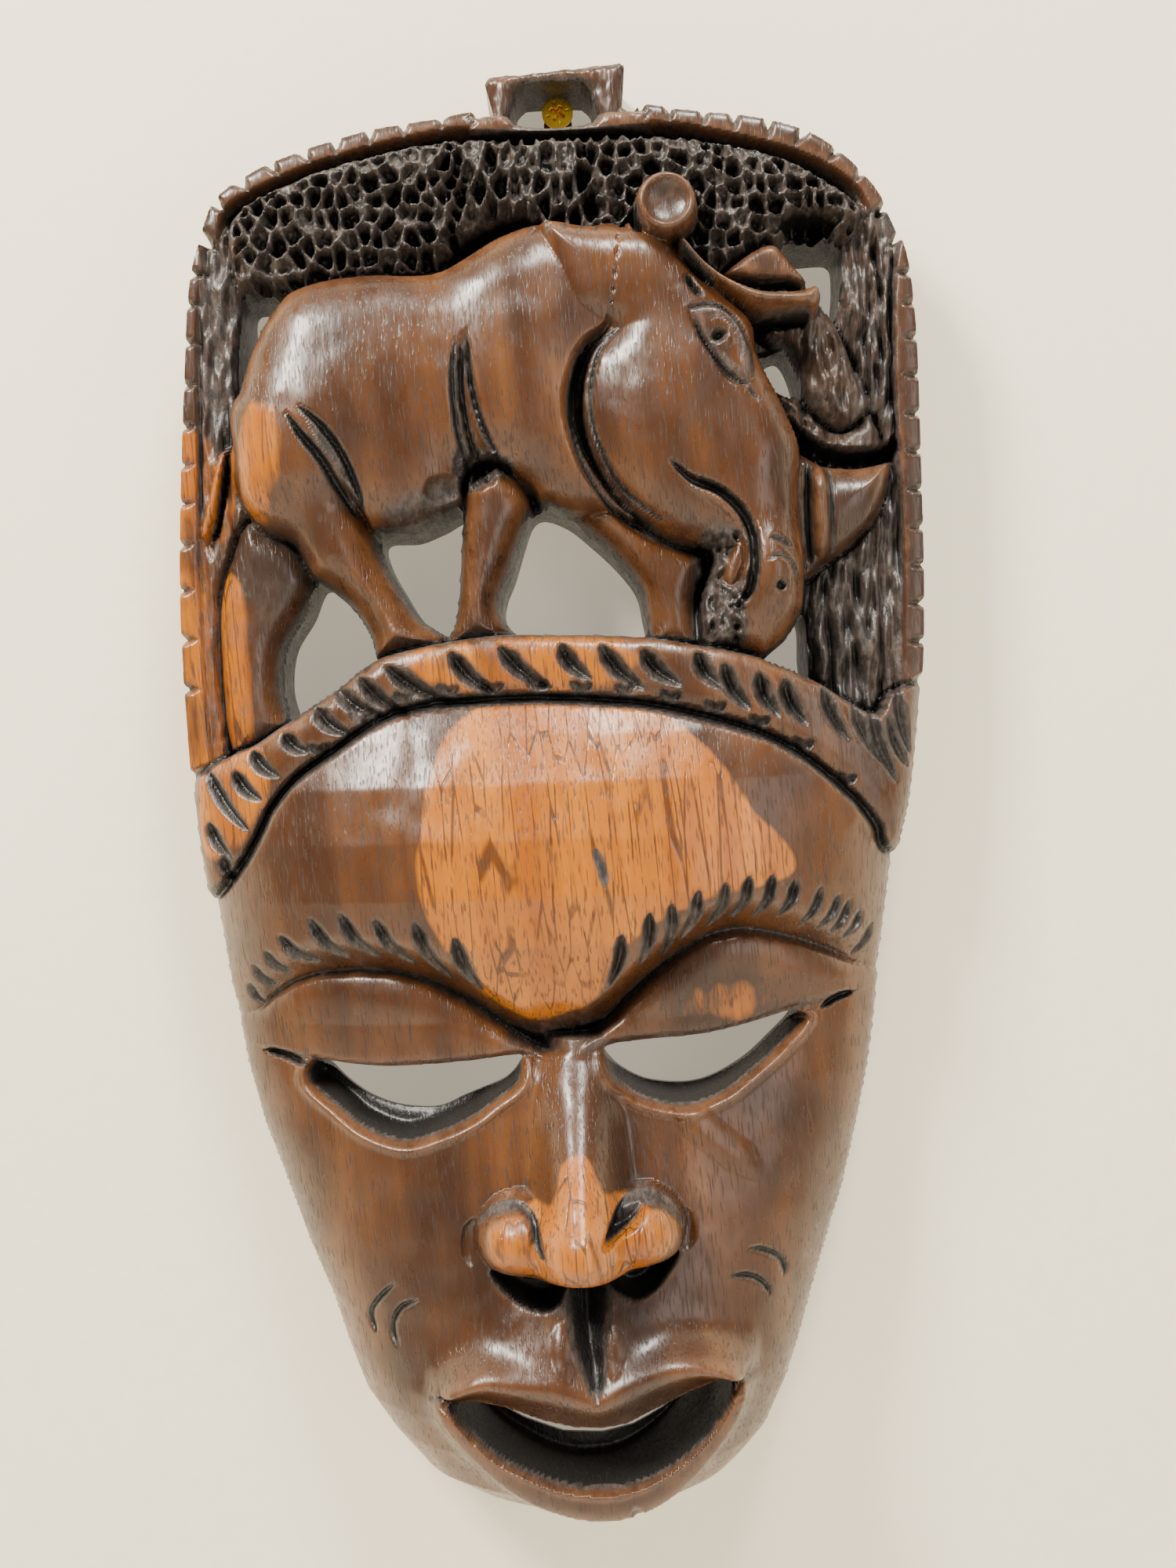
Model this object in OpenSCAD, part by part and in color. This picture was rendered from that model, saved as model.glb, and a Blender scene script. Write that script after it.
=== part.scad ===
// Carved wooden wall mask: a long face below an openwork crest that shows a grazing buffalo.
// Frame: X to the right, Z up, the wall is the plane y = 0 and the carving faces -Y.
// The origin is where the hanging screw's axis meets the wall. Millimetres.
// A plan point [x, z] lies in the wall plane, and a height is a distance out from the wall.
// The carving is one block of wood. Its regions are separate solids that meet face to face.

/* [Carving] */
// Width of the carving across the crest
mask_w = 196; // [180:1:236]
// Height of the carving from the chin to the rim
mask_h = 371; // [309:1:446]
// Height of the nose tip above the wall
relief = 82; // [72:1:99]
// Thickness of the face shell around the hollow back
shell = 14; // [11:0.5:17]
// Width of the flat back rim around the hollow
back_rim = 11; // [8:0.5:14]
// Height of the animal's flat back above the wall
animal_back = 5; // [2:0.5:9]

/* [Hanging lug] */
// Thickness of the lug from back to front
lug_t = 24; // [18:1:29]
// Width of the lug along its top edge
lug_w = 36.5; // [31:0.5:44]
// Height of the lug's top edge above the screw axis
lug_top = 8; // [7:0.5:10]
// Width of the tunnel that the screw sits in
tunnel_w = 20.6; // [16:0.2:25]
// Depth of the tunnel's floor below the screw axis
tunnel_floor = 8.6; // [7:0.2:10.4]
// Gap between the tunnel's roof and the screw head that carries it
roof_gap = 0.3; // [0.3:0.05:0.6]

/* [Wall fixing] */
// Diameter of the countersunk screw head
head_d = 8.4; // [7:0.1:10.1]
// Diameter over the screw's thread
screw_d = 4.2; // [3.5:0.1:5]
// Length of the screw over its head
screw_l = 45; // [37:1:54]
// Height of the screw head's face above the wall
head_out = 11; // [9:0.5:13.5]
// Diameter of the wall plug
plug_d = 7; // [6:0.1:8.5]
// Length of the wall plug
plug_l = 38; // [32:1:46]
// Radial clearance of the screw in the plug
thread_gap = 0.05; // [0.02:0.01:0.1]

/* [Hidden] */

// The plan below is carved at these sizes, and the carved regions are stretched to the driving ones.
PLAN_W = 196;
PLAN_H = 371;
PLAN_RELIEF = 82;
stretch_x = mask_w / PLAN_W;
stretch_z = mask_h / PLAN_H;
stretch_y = relief / PLAN_RELIEF;
shell_h = shell / stretch_y;
animal_floor = animal_back / stretch_y;
CUT_DEPTH = 120;
CREST_STEP = 7;
FACE_STEP = 7;
FINE_STEP = 4.5;

HEARTWOOD = "sienna";
REDWOOD = "saddlebrown";
SAPWOOD = "peru";
STAINED = "darkslategray";

// Side edges of the carving, as [z, x] from the crest down to the chin.
LEFT_EDGE = [[-374.5, 0], [-373, -18], [-369, -34], [-360, -49], [-350, -57.5], [-341, -63.5],
             [-330, -67.5], [-317, -71.5], [-302, -77.5], [-287, -82.5], [-270, -88.5],
             [-254, -92.5], [-233, -96], [-211, -99], [-190, -101.5], [-171, -102.5],
             [-137, -103.5], [-105, -102.5], [-75, -100.5], [-50, -98.5], [-37, -95.5],
             [-26, -91.5]];
RIGHT_EDGE = [[-374.5, 0], [-372, 18], [-364, 35], [-354, 44.5], [-343, 50], [-330, 54.5],
              [-317, 58.5], [-305, 62.5], [-292, 67], [-275, 71.5], [-260, 75], [-245, 77.5],
              [-228, 79.5], [-202, 83.5], [-190, 86.5], [-177, 88.5], [-160, 90.5],
              [-135, 92], [-80, 92.5], [-60, 92], [-46, 90.5], [-36, 87], [-28, 82.5]];
// Top edge of the rim, left to right.
TOP_EDGE = [[-87, -22.5], [-78, -17.5], [-70, -14.5], [-60, -11.5], [-50, -9], [-40, -7.5],
            [-30, -6.3], [-20, -5], [20, -4.5], [30, -5.8], [40, -7.2], [50, -8.5], [60, -11],
            [69, -15], [77, -21.5]];
// Line between the rim and the pitted canopy, left to right.
RIM_INNER = [[-90, -37], [-87, -29], [-79, -24.5], [-68, -20], [-58, -17], [-48, -14.5],
             [-38, -12.5], [-28, -11], [-14, -10], [20, -10], [30, -11.5], [40, -13.5],
             [50, -16], [60, -19], [69, -23], [77, -29], [81, -35]];

// Gaps that go right through the crest.
GAP_RUMP = [[-84, -50], [-74, -53], [-79, -61], [-83, -69], [-85.5, -78], [-87, -70], [-85.5, -58]];
GAP_TOP_RIGHT = [[58, -42.5], [73, -42], [74, -48], [73, -57], [71, -62], [66, -55], [61, -48]];
GAP_SMALL = [[50, -71], [54, -69.5], [58, -68.5], [61, -74], [62, -82], [56, -80], [52, -77]];
GAP_HIND = [[-68, -127], [-72, -135], [-77, -143], [-78.5, -152], [-77.5, -159], [-75, -163.5],
            [-62, -156], [-52, -149], [-54, -142], [-58, -135], [-63, -130]];
GAP_BELLY = [[-50.5, -115], [-42, -114.5], [-35, -112], [-28.5, -109.5], [-29.5, -120],
             [-30.5, -132], [-32, -140], [-34, -142], [-41, -137], [-46, -129], [-50, -121]];
GAP_CHEST = [[-10.5, -111], [-7, -109.5], [-1, -112], [5, -117], [12, -124], [17, -131],
             [18.5, -138], [18.5, -144], [10, -144.5], [0, -144], [-10, -143.5], [-16, -142],
             [-19, -137], [-18.5, -132], [-16, -126], [-13, -117]];
GAP_MUZZLE = [[49, -153], [49, -152], [55, -146.5], [59, -140], [61, -142], [61, -150], [60.8, -159], [55, -156]];

// Outlines of the crest's figures.
BODY = [[-88, -84], [-85.5, -77], [-82, -67], [-78, -59], [-73, -53], [-66, -50], [-58, -48.5],
        [-48, -48], [-38, -48.5], [-31, -47.5], [-24, -44], [-17, -40], [-9, -37], [-2, -36.5],
        [6, -37.5], [16, -38.5], [24, -60], [20, -110], [9, -112], [-1, -112], [-7, -109.5],
        [-12, -104], [-26, -100], [-28.5, -109.5], [-35, -112], [-42, -114.5], [-50.5, -115],
        [-60, -118], [-80, -114], [-85, -107], [-86.5, -98]];
HEAD = [[16, -38.5], [22, -39.5], [28, -42], [33, -49], [40, -56], [46, -61], [49, -65], [50, -71], [52, -77],
        [56, -86], [60, -97], [59, -108], [59.5, -120], [60, -131], [59, -140], [55, -146.5],
        [49, -152], [42, -150.5], [33, -149], [33, -136], [36, -124], [26, -120], [17, -114],
        [9, -105], [3, -95], [1, -84], [4, -72], [12, -62]];
TAIL = [[-88, -92], [-90, -98], [-92, -106], [-95, -114], [-97.5, -114], [-95, -104], [-91.5, -93]];
NEAR_HIND = [[-88, -90], [-80, -86], [-72, -83], [-64, -92], [-58, -103], [-53, -112], [-50, -121],
             [-46, -129], [-41, -137], [-34, -142], [-30, -146], [-52, -150], [-54, -142],
             [-58, -135], [-63, -130], [-68, -127], [-71.5, -120], [-74, -116.5], [-80, -114],
             [-86, -107], [-89, -98]];
FAR_HIND = [[-86, -110], [-80, -113], [-71.5, -118], [-68, -127], [-72, -135], [-77, -143],
            [-78.5, -152], [-77.5, -159], [-75, -165], [-84, -172], [-92, -172], [-94, -157],
            [-94.5, -143], [-94, -130], [-91, -120]];
NEAR_FORE = [[-26, -100], [-28.5, -109.5], [-29.5, -120], [-30.5, -132], [-32, -140], [-34, -146],
             [-15, -146], [-19, -137], [-18.5, -132], [-16, -126], [-13, -117], [-10.5, -111],
             [-12, -104], [-19, -98]];
FAR_FORE = [[9, -105], [-1, -112], [5, -117], [12, -124], [17, -131], [18.5, -138], [18.5, -148],
            [34, -150], [33, -136], [36, -124], [26, -118], [17, -112]];
NEAR_HORN = [[31, -43], [37, -50], [44, -55], [52, -58], [60, -58], [65, -57], [66, -61],
             [63, -64], [55, -63], [48, -62], [42, -58], [36, -53], [30, -47]];
FAR_HORN = [[42, -50], [50, -44.5], [58, -43], [61, -48], [66, -55], [71, -62], [76, -74], [80, -87],
            [72, -92], [64, -86], [62, -82], [61, -74], [58, -68.5], [52, -66], [46, -58]];
RINGED = [[58, -99], [67, -101], [76, -101.5], [84, -100], [83.5, -108], [80, -116], [74, -122],
          [67, -127], [59, -130]];
VINE = [[50, -71], [56, -80], [62, -82], [64, -86], [72, -92], [80, -87], [84, -97], [84, -100],
        [76, -101.5], [67, -101], [58, -99]];
BARK = [[56, -120], [80, -112], [81, -130], [80.5, -150], [79, -168], [60, -164], [54, -150]];
LEFT_POST = [[-110, -37], [-86, -37], [-84, -50], [-85.5, -70], [-82, -95], [-80, -120], [-84, -175],
             [-110, -182]];
RIGHT_POST = [[110, -35], [76, -35], [73, -42], [71, -62], [76, -74], [80, -100], [78, -168], [110, -156]];
EAR_CENTRE = [27, -35.5];
EAR_R = 8.2;
EAR_H = 49;
EAR_SIDES = 12;

// Braid that arches over the forehead: its upper and lower lines, left to right.
ARCH_TOP = [[-110, -182], [-92, -172], [-84, -169], [-75, -163.5], [-62, -156], [-52, -149],
            [-40, -146], [-30, -144.5], [-16, -143.5], [0, -144], [10, -144.5], [20, -145.5],
            [30, -147.5], [40, -149.5], [49, -152], [60.5, -157], [70, -163], [78, -166.5],
            [84, -160], [110, -155]];
ARCH_LOW = [[-110, -214], [-97, -208], [-88, -200], [-83, -193], [-79, -186], [-72, -178.5],
            [-62, -172], [-52, -165.5], [-42, -162], [-30, -160.8], [-10, -160.5], [10, -162],
            [20, -163.5], [30, -166], [40, -169], [50, -173], [58, -178], [66, -184.5],
            [72, -190], [77, -196], [82, -203], [110, -206]];
// Lines across the face, left to right.
LEFT_BROW_TOP = [[-110, -234], [-90, -226], [-84, -221], [-78, -217], [-70, -213], [-60, -211],
                 [-50, -212], [-40, -214], [-33, -218], [-27, -226], [-20, -236], [-8, -247]];
LEFT_BROW_LOW = [[-110, -246], [-88, -239.5], [-82, -235], [-74, -230.5], [-64, -228.5],
                 [-52, -228.5], [-42, -231], [-33, -235.5], [-25, -241], [-17, -247], [-12, -250]];
LEFT_LID_LOW = [[-110, -247], [-86, -249], [-76, -250.5], [-64, -252.5], [-50, -253], [-32, -251.8],
                [-12, -250.3]];
RIGHT_BROW_TOP = [[-8, -247], [-2, -238], [3, -228], [7, -220.5], [14, -215], [20, -212.5],
                  [28, -209.5], [36, -207.5], [44, -206], [52, -206.5], [60, -208.5],
                  [66, -211.5], [72, -215.5], [78, -220], [110, -228]];
RIGHT_BROW_LOW = [[-2, -248.5], [5, -243], [12, -236], [19, -230], [26, -225], [32, -222],
                  [40, -221], [48, -222.5], [56, -225], [64, -228.5], [72, -232.5], [110, -246]];
RIGHT_LID_LOW = [[-2, -249], [3, -248.8], [14, -247.5], [28, -247], [40, -245], [52, -242],
                 [62, -240.3], [72, -239.5], [110, -236]];
LEFT_SLIT_TOP = [[-78, -250.3], [-64, -252.5], [-50, -253], [-32, -251.8], [-15, -250.6]];
RIGHT_SLIT_TOP = [[3, -248.8], [14, -247.5], [28, -247], [40, -245], [52, -242], [61, -240.4]];
LEFT_SLIT_LOW = [[-78, -250.3], [-74, -255.5], [-68, -260.5], [-60, -265.5], [-50, -269],
                 [-42, -269.5], [-34, -267.5], [-26, -263.5], [-20, -259], [-15, -250.6]];
RIGHT_SLIT_LOW = [[3, -248.8], [6, -253.5], [12, -258], [20, -260.8], [30, -262], [38, -261],
                  [46, -257.5], [54, -251.5], [61, -240.4]];
NOSE = [[-12, -250], [-2, -248.5], [3, -254], [4, -263], [6, -275], [9, -281], [15, -282],
        [20, -287], [21, -294], [20, -299], [14, -302], [7, -305], [0, -307.5], [-6, -308],
        [-13, -306.5], [-20, -304], [-27, -301.5], [-30, -296], [-29, -289], [-25, -283],
        [-18, -280], [-15, -270], [-16, -257]];
MOUTH_TOP = [[-39, -335], [-31, -334.5], [-23, -336], [-15, -339], [-7, -341], [0, -341.5],
             [6, -340.5], [14, -337], [22, -333.5], [29, -331.5], [34.5, -331.5]];
// Foot of the slope inside the mouth, where the opening goes through to the hollow back.
MOUTH_SILL = [[-39, -335], [-30, -338.5], [-20, -343.5], [-10, -346.8], [0, -347.5], [8, -346.3],
              [16, -343], [24, -338], [34.5, -331.5]];
SILL_H = 18;
MOUTH_LOW = [[-39, -335], [-33, -342.5], [-26, -349], [-18, -354], [-10, -357.5], [0, -359],
             [8, -357.5], [16, -353.5], [24, -347], [30, -340], [34.5, -331.5]];
UPPER_LIP_TOP = [[-39, -335], [-41, -331], [-37, -321], [-30, -314], [-24, -308], [-24, -300],
                 [16, -298], [22, -305], [28, -314], [34, -322], [36.5, -329], [34.5, -331.5]];
LIP_LOW = [[-41, -331], [-40, -339], [-34, -347], [-28, -353], [-21, -358.5], [-14, -362],
           [-6, -364.5], [2, -365], [9, -363.5], [16, -360], [23, -354], [30, -346], [35, -338],
           [36.5, -329]];

// Heights of the face's centre line above the wall, as [z, height].
CROWN = [[-375, 16], [-371, 30], [-366, 44], [-360, 52], [-350, 56], [-335, 58], [-318, 56],
         [-300, 54], [-280, 52], [-265, 50], [-252, 49], [-242, 50], [-232, 54], [-222, 59],
         [-210, 62], [-196, 62], [-182, 59], [-170, 54], [-160, 49], [-145, 46]];
// The nose above the face, as [z, height] and [z, half width].
NOSE_RISE = [[-310, 0], [-306, 18], [-301, 26], [-294, 28], [-284, 22], [-270, 13], [-256, 6], [-248, 0]];
NOSE_HALF = [[-310, 16], [-300, 27], [-292, 27], [-284, 22], [-278, 13], [-265, 11], [-250, 9]];
NOSE_X = -4;
EDGE_H = 13;
SIDE_POWER = 0.6;
RIM_H = 28;
CANOPY_H = 34;
ARCH_EDGE_H = 24;
GUARD = 1;

function flipped(path) = [for (i = [len(path) - 1 : -1 : 0]) path[i]];
function dome(x, z, c, a, b, rise) =
    let (t = 1 - pow((x - c[0]) / a, 2) - pow((z - c[1]) / b, 2)) t > 0 ? rise * sqrt(t) : 0;
function across(x, z, inset) =
    let (l = lookup(z, LEFT_EDGE) + inset, r = lookup(z, RIGHT_EDGE) - inset)
    r - l < 2 ? 1 : min(1, abs(x - (l + r) / 2) / ((r - l) / 2));
function nose_rise(x, z) =
    let (t = (x - NOSE_X) / lookup(z, NOSE_HALF)) lookup(z, NOSE_RISE) * max(0, 1 - t * t);

// Front surfaces, as heights above the wall at a plan point.
function face_front(x, z) =
    EDGE_H + (lookup(z, CROWN) - EDGE_H) * pow(1 - pow(across(x, z, 0), 2.4), SIDE_POWER)
    + nose_rise(x, z)
    + dome(x, z, [-50, -246], 40, 17, 4) + dome(x, z, [38, -240], 36, 17, 4)
    + dome(x, z, [-3, -326], 26, 18, 9) - dome(x, z, [-50, -262], 36, 10, 4)
    - dome(x, z, [32, -257], 32, 10, 4);
function arch_front(x, z) =
    ARCH_EDGE_H + (lookup(z, CROWN) - ARCH_EDGE_H) * pow(1 - pow(across(x, z, 0), 2.4), SIDE_POWER);
function crest_front(x, z) = CANOPY_H - 6 * pow(abs(x) / 95, 4);
function body_front(x, z) =
    32 + max(dome(x, z, [-52, -82], 40, 40, 11), dome(x, z, [-12, -76], 32, 46, 14));
function head_front(x, z) = 33 + max(dome(x, z, [28, -84], 34, 52, 14), dome(x, z, [50, -124], 18, 34, 8));

// Inner surface of the hollow back, as heights above the wall.
function face_back(x, z) =
    let (t = across(x, z, back_rim / stretch_x), deep = lookup(z, CROWN) - shell_h,
         near_top = (-168 - z) / 14, near_chin = (z + 366) / 12)
    t >= 1 ? 0 : max(0, deep) * sqrt(1 - t * t) * max(0, min(1, near_top)) * max(0, min(1, near_chin));

// The lower lip, whose slope inside the mouth runs from the lip's edge down to the sill.
function lip_front(x, z) =
    let (edge = lookup(x, MOUTH_LOW), sill = lookup(x, MOUTH_SILL), h = face_front(x, z),
         t = max(0, min(1, (z - edge) / max(GUARD, sill - edge))))
    h - (h - SILL_H) * t;
function lip_back(x, z) = min(face_back(x, z), max(0, lip_front(x, z) - shell_h));

module plan(points) {
    polygon(points);
}

// What its children draw keeps its real size when the plan is stretched.
module real_size() {
    scale([1 / stretch_x, 1 / stretch_z]) children();
}

module between(upper, lower) {
    plan(concat(upper, flipped(lower)));
}

// Everything under the carving's own outline.
module outline_plan() {
    left = [for (p = LEFT_EDGE) [p[1], p[0]]];
    right = [for (p = RIGHT_EDGE) [p[1], p[0]]];
    plan(concat(left, TOP_EDGE, flipped(right)));
}

module gaps_plan() {
    for (gap = [GAP_RUMP, GAP_TOP_RIGHT, GAP_SMALL, GAP_HIND, GAP_BELLY, GAP_CHEST, GAP_MUZZLE]) {
        plan(gap);
    }
    real_size() tunnel_plan();
}

// The tunnel in the lug, with a flat roof that rests on the screw head.
module tunnel_plan() {
    roof = head_d / 2 + roof_gap;
    corner = tunnel_w / 5;
    shift = -tunnel_w / 20;
    translate([shift - tunnel_w / 2, -tunnel_floor]) square([tunnel_w, tunnel_floor + roof - corner]);
    translate([shift - tunnel_w / 2 + corner, -tunnel_floor]) {
        square([tunnel_w - 2 * corner, tunnel_floor + roof]);
    }
    for (side = [-1, 1]) {
        translate([shift + side * (tunnel_w / 2 - corner), roof - corner]) circle(r = corner, $fn = 48);
    }
}

module lug_plan() {
    foot = lug_w * 0.46;
    polygon([[-foot, -tunnel_floor - 1], [foot, -tunnel_floor - 1], [foot, -5],
             [lug_w * 0.48, lug_top], [lug_w * 0.46, lug_top + 0.6],
             [-lug_w * 0.5, lug_top - 2], [-lug_w * 0.52, lug_top - 3.2], [-foot, -4]]);
}

// The strip of rim that runs under the lug.
module lug_seat_plan() {
    strip = 2.4;
    arm = 1.6;
    rise = 8;
    translate([-lug_w / 2 - arm, -tunnel_floor - 1 - strip]) square([lug_w + 2 * arm, strip + rise]);
}

// A closed block between a front and a back surface, both given as heights above the wall.
module slab(low, high, step, front, back) {
    nx = ceil((high[0] - low[0]) / step);
    nz = ceil((high[1] - low[1]) / step);
    count = (nx + 1) * (nz + 1);
    cells = [for (j = [0 : nz], i = [0 : nx])
        let (x = low[0] + (high[0] - low[0]) * i / nx, z = low[1] + (high[1] - low[1]) * j / nz)
        [x, z, back(x, z)]];
    points = concat(
        [for (c = cells) [c[0], -max(front(c[0], c[1]), c[2] + GUARD), c[1]]],
        [for (c = cells) [c[0], -c[2], c[1]]]);
    grid = [for (j = [0 : nz - 1], i = [0 : nx - 1]) let (a = j * (nx + 1) + i) [a, a + 1, a + nx + 2, a + nx + 1]];
    edge = concat([for (i = [0 : nx]) i], [for (j = [1 : nz]) j * (nx + 1) + nx],
                  [for (i = [nx - 1 : -1 : 0]) nz * (nx + 1) + i], [for (j = [nz - 1 : -1 : 1]) j * (nx + 1)]);
    faces = concat(
        [for (q = grid) each [[q[2], q[1], q[0]], [q[3], q[2], q[0]]]],
        [for (q = grid) each [[q[0] + count, q[1] + count, q[2] + count], [q[0] + count, q[2] + count, q[3] + count]]],
        [for (k = [0 : len(edge) - 1]) let (a = edge[k], b = edge[(k + 1) % len(edge)])
            each [[a, b, b + count], [a, b + count, a + count]]]);
    polyhedron(points, faces, convexity = 6);
}

// The region that its children outline, carved between a front and a back surface.
module carved(low, high, front, back, step = CREST_STEP) {
    resize([0, 0, 0]) scale([stretch_x, stretch_y, stretch_z]) intersection() {
        slab(low, high, step, front, back);
        translate([0, GUARD, 0]) rotate([90, 0, 0]) linear_extrude(CUT_DEPTH) children();
    }
}

module figure_plans() {
    for (figure = [NEAR_HORN, HEAD, FAR_FORE, NEAR_FORE, NEAR_HIND, BODY, TAIL, FAR_HIND]) {
        plan(figure);
    }
    ear_plan();
}

module ear_plan() {
    translate(EAR_CENTRE) circle(r = EAR_R, $fn = EAR_SIDES);
}

module arch_plan() {
    intersection() {
        outline_plan();
        between(ARCH_TOP, ARCH_LOW);
    }
}

// The crest inside the carving's outline, with its gaps open.
module crest_plan() {
    difference() {
        intersection() {
            outline_plan();
            between([[-120, 20], [120, 20]], ARCH_TOP);
        }
        gaps_plan();
        real_size() lug_plan();
    }
}

// The face inside the carving's outline, with the eye slits and the mouth open.
module face_plan() {
    difference() {
        intersection() {
            outline_plan();
            between(ARCH_LOW, [[-120, -390], [120, -390]]);
        }
        between(LEFT_SLIT_TOP, LEFT_SLIT_LOW);
        between(RIGHT_SLIT_TOP, RIGHT_SLIT_LOW);
        between(MOUTH_TOP, MOUTH_SILL);
    }
}

module hanging_lug() {
    color(REDWOOD) rotate([90, 0, 0]) linear_extrude(lug_t) difference() {
        lug_plan();
        tunnel_plan();
    }
}

module rim_top() {
    color(REDWOOD) carved([-100, -40], [94, 0], function(x, z) RIM_H, function(x, z) 0) difference() {
        crest_plan();
        difference() {
            between(RIM_INNER, [[-90, -80], [81, -80]]);
            real_size() lug_seat_plan();
        }
        between([[-120, -37], [-90, -37]], [[-120, -60], [-90, -60]]);
        between([[81, -35], [120, -35]], [[81, -60], [120, -60]]);
    }
}

module left_post() {
    color(SAPWOOD) carved([-108, -184], [-70, -35], function(x, z) 29, function(x, z) 0) difference() {
        intersection() {
            crest_plan();
            plan(LEFT_POST);
        }
        figure_plans();
    }
}

module right_post() {
    color(REDWOOD) carved([68, -170], [96, -33], function(x, z) 30, function(x, z) 0) difference() {
        intersection() {
            crest_plan();
            plan(RIGHT_POST);
        }
        plan(BARK);
        plan(RINGED);
        plan(VINE);
        plan(FAR_HORN);
    }
}

module leaf_canopy() {
    color(STAINED) carved([-92, -60], [84, -8], function(x, z) crest_front(x, z), function(x, z) 0) {
        difference() {
            intersection() {
                crest_plan();
                between(RIM_INNER, [[-90, -37], [-84, -56], [50, -56], [73, -50], [76, -35], [81, -35]]);
            }
            real_size() lug_seat_plan();
            figure_plans();
            plan(FAR_HORN);
            plan(LEFT_POST);
            plan(RIGHT_POST);
        }
    }
}

module buffalo_body() {
    color(HEARTWOOD) carved([-92, -120], [26, -34], function(x, z) body_front(x, z), function(x, z) animal_floor) {
        difference() {
            intersection() {
                crest_plan();
                plan(BODY);
            }
            plan(HEAD);
            plan(FAR_FORE);
            plan(NEAR_FORE);
            plan(NEAR_HIND);
        }
    }
}

module buffalo_head() {
    color(HEARTWOOD) carved([0, -154], [62, -36], function(x, z) head_front(x, z), function(x, z) animal_floor) {
        difference() {
            intersection() {
                crest_plan();
                plan(HEAD);
            }
            ear_plan();
            plan(NEAR_HORN);
        }
    }
}

module buffalo_ear() {
    dish_rise = 4;
    color(REDWOOD) resize([0, 0, 0]) scale([stretch_x, stretch_y, stretch_z]) {
        translate([EAR_CENTRE[0], 0, EAR_CENTRE[1]]) rotate([90, 0, 0]) difference() {
            cylinder(h = EAR_H, r = EAR_R, $fn = EAR_SIDES);
            translate([0, 0, EAR_H + dish_rise]) sphere(r = EAR_R, $fn = 24);
        }
    }
}

module crest_figure(points, low, high, height, back) {
    carved(low, high, function(x, z) height, function(x, z) back) intersection() {
        crest_plan();
        plan(points);
    }
}

module buffalo_tail() {
    color(SAPWOOD) carved([-99, -116], [-86, -90], function(x, z) 33, function(x, z) 0) difference() {
        intersection() {
            crest_plan();
            plan(TAIL);
        }
        plan(NEAR_HIND);
        plan(BODY);
    }
}

module near_hind_leg() {
    color(SAPWOOD) carved([-91, -152], [-28, -80], function(x, z) 34 + dome(x, z, [-66, -104], 26, 34, 7),
                          function(x, z) animal_floor) {
        difference() {
            intersection() {
                crest_plan();
                plan(NEAR_HIND);
            }
            plan(NEAR_FORE);
        }
    }
}

module far_hind_leg() {
    color(SAPWOOD) carved([-97, -175], [-66, -108], function(x, z) 30, function(x, z) animal_floor) difference() {
        intersection() {
            crest_plan();
            plan(FAR_HIND);
        }
        plan(NEAR_HIND);
        plan(BODY);
        plan(TAIL);
    }
}

module near_foreleg() {
    color(HEARTWOOD) crest_figure(NEAR_FORE, [-36, -148], [-8, -96], 37, animal_floor);
}

module far_foreleg() {
    color(HEARTWOOD) carved([-3, -152], [38, -103], function(x, z) 34, function(x, z) animal_floor) difference() {
        intersection() {
            crest_plan();
            plan(FAR_FORE);
        }
        plan(HEAD);
    }
}

module near_horn() {
    color(REDWOOD) carved([28, -66], [68, -41], function(x, z) 46, function(x, z) 18) difference() {
        intersection() {
            crest_plan();
            plan(NEAR_HORN);
        }
        ear_plan();
    }
}

module far_horn() {
    color(STAINED) carved([40, -94], [82, -41], function(x, z) 34, function(x, z) 0) difference() {
        intersection() {
            crest_plan();
            plan(FAR_HORN);
        }
        figure_plans();
    }
}

module ringed_horn() {
    color(REDWOOD) carved([56, -132], [86, -98], function(x, z) 32 + dome(x, z, [70, -112], 22, 18, 6),
                          function(x, z) 0) {
        difference() {
            intersection() {
                crest_plan();
                plan(RINGED);
            }
            plan(HEAD);
        }
    }
}

module vine_branch() {
    color(STAINED) carved([48, -103], [86, -69], function(x, z) 33, function(x, z) 0) difference() {
        intersection() {
            crest_plan();
            plan(VINE);
        }
        plan(HEAD);
        plan(RINGED);
        plan(FAR_HORN);
    }
}

module bark_panel() {
    color(STAINED) carved([52, -170], [84, -110], function(x, z) 30, function(x, z) 0) difference() {
        intersection() {
            crest_plan();
            plan(BARK);
        }
        plan(HEAD);
        plan(RINGED);
    }
}

module braid_arch() {
    color(HEARTWOOD) carved([-110, -216], [96, -142], function(x, z) arch_front(x, z), function(x, z) 0) {
        arch_plan();
    }
}

// A region of the face: its children outline it, and the hollow back runs on behind it.
module face_region(low, high, step = FACE_STEP) {
    carved(low, high, function(x, z) face_front(x, z), function(x, z) face_back(x, z), step) {
        intersection() {
            face_plan();
            children();
        }
    }
}

module brows_and_below_plan() {
    between(concat(LEFT_BROW_TOP, RIGHT_BROW_TOP), [[-120, -390], [120, -390]]);
}

module forehead() {
    color(SAPWOOD) face_region([-104, -250], [90, -158]) difference() {
        between([[-120, -100], [120, -100]], [[-120, -260], [120, -260]]);
        brows_and_below_plan();
    }
}

module left_brow() {
    color(HEARTWOOD) face_region([-104, -252], [-6, -208]) difference() {
        between(LEFT_BROW_TOP, LEFT_BROW_LOW);
        plan(NOSE);
    }
}

module right_brow() {
    color(HEARTWOOD) face_region([-10, -252], [86, -203]) difference() {
        between(RIGHT_BROW_TOP, RIGHT_BROW_LOW);
        plan(NOSE);
        between(LEFT_BROW_TOP, LEFT_BROW_LOW);
    }
}

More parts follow.
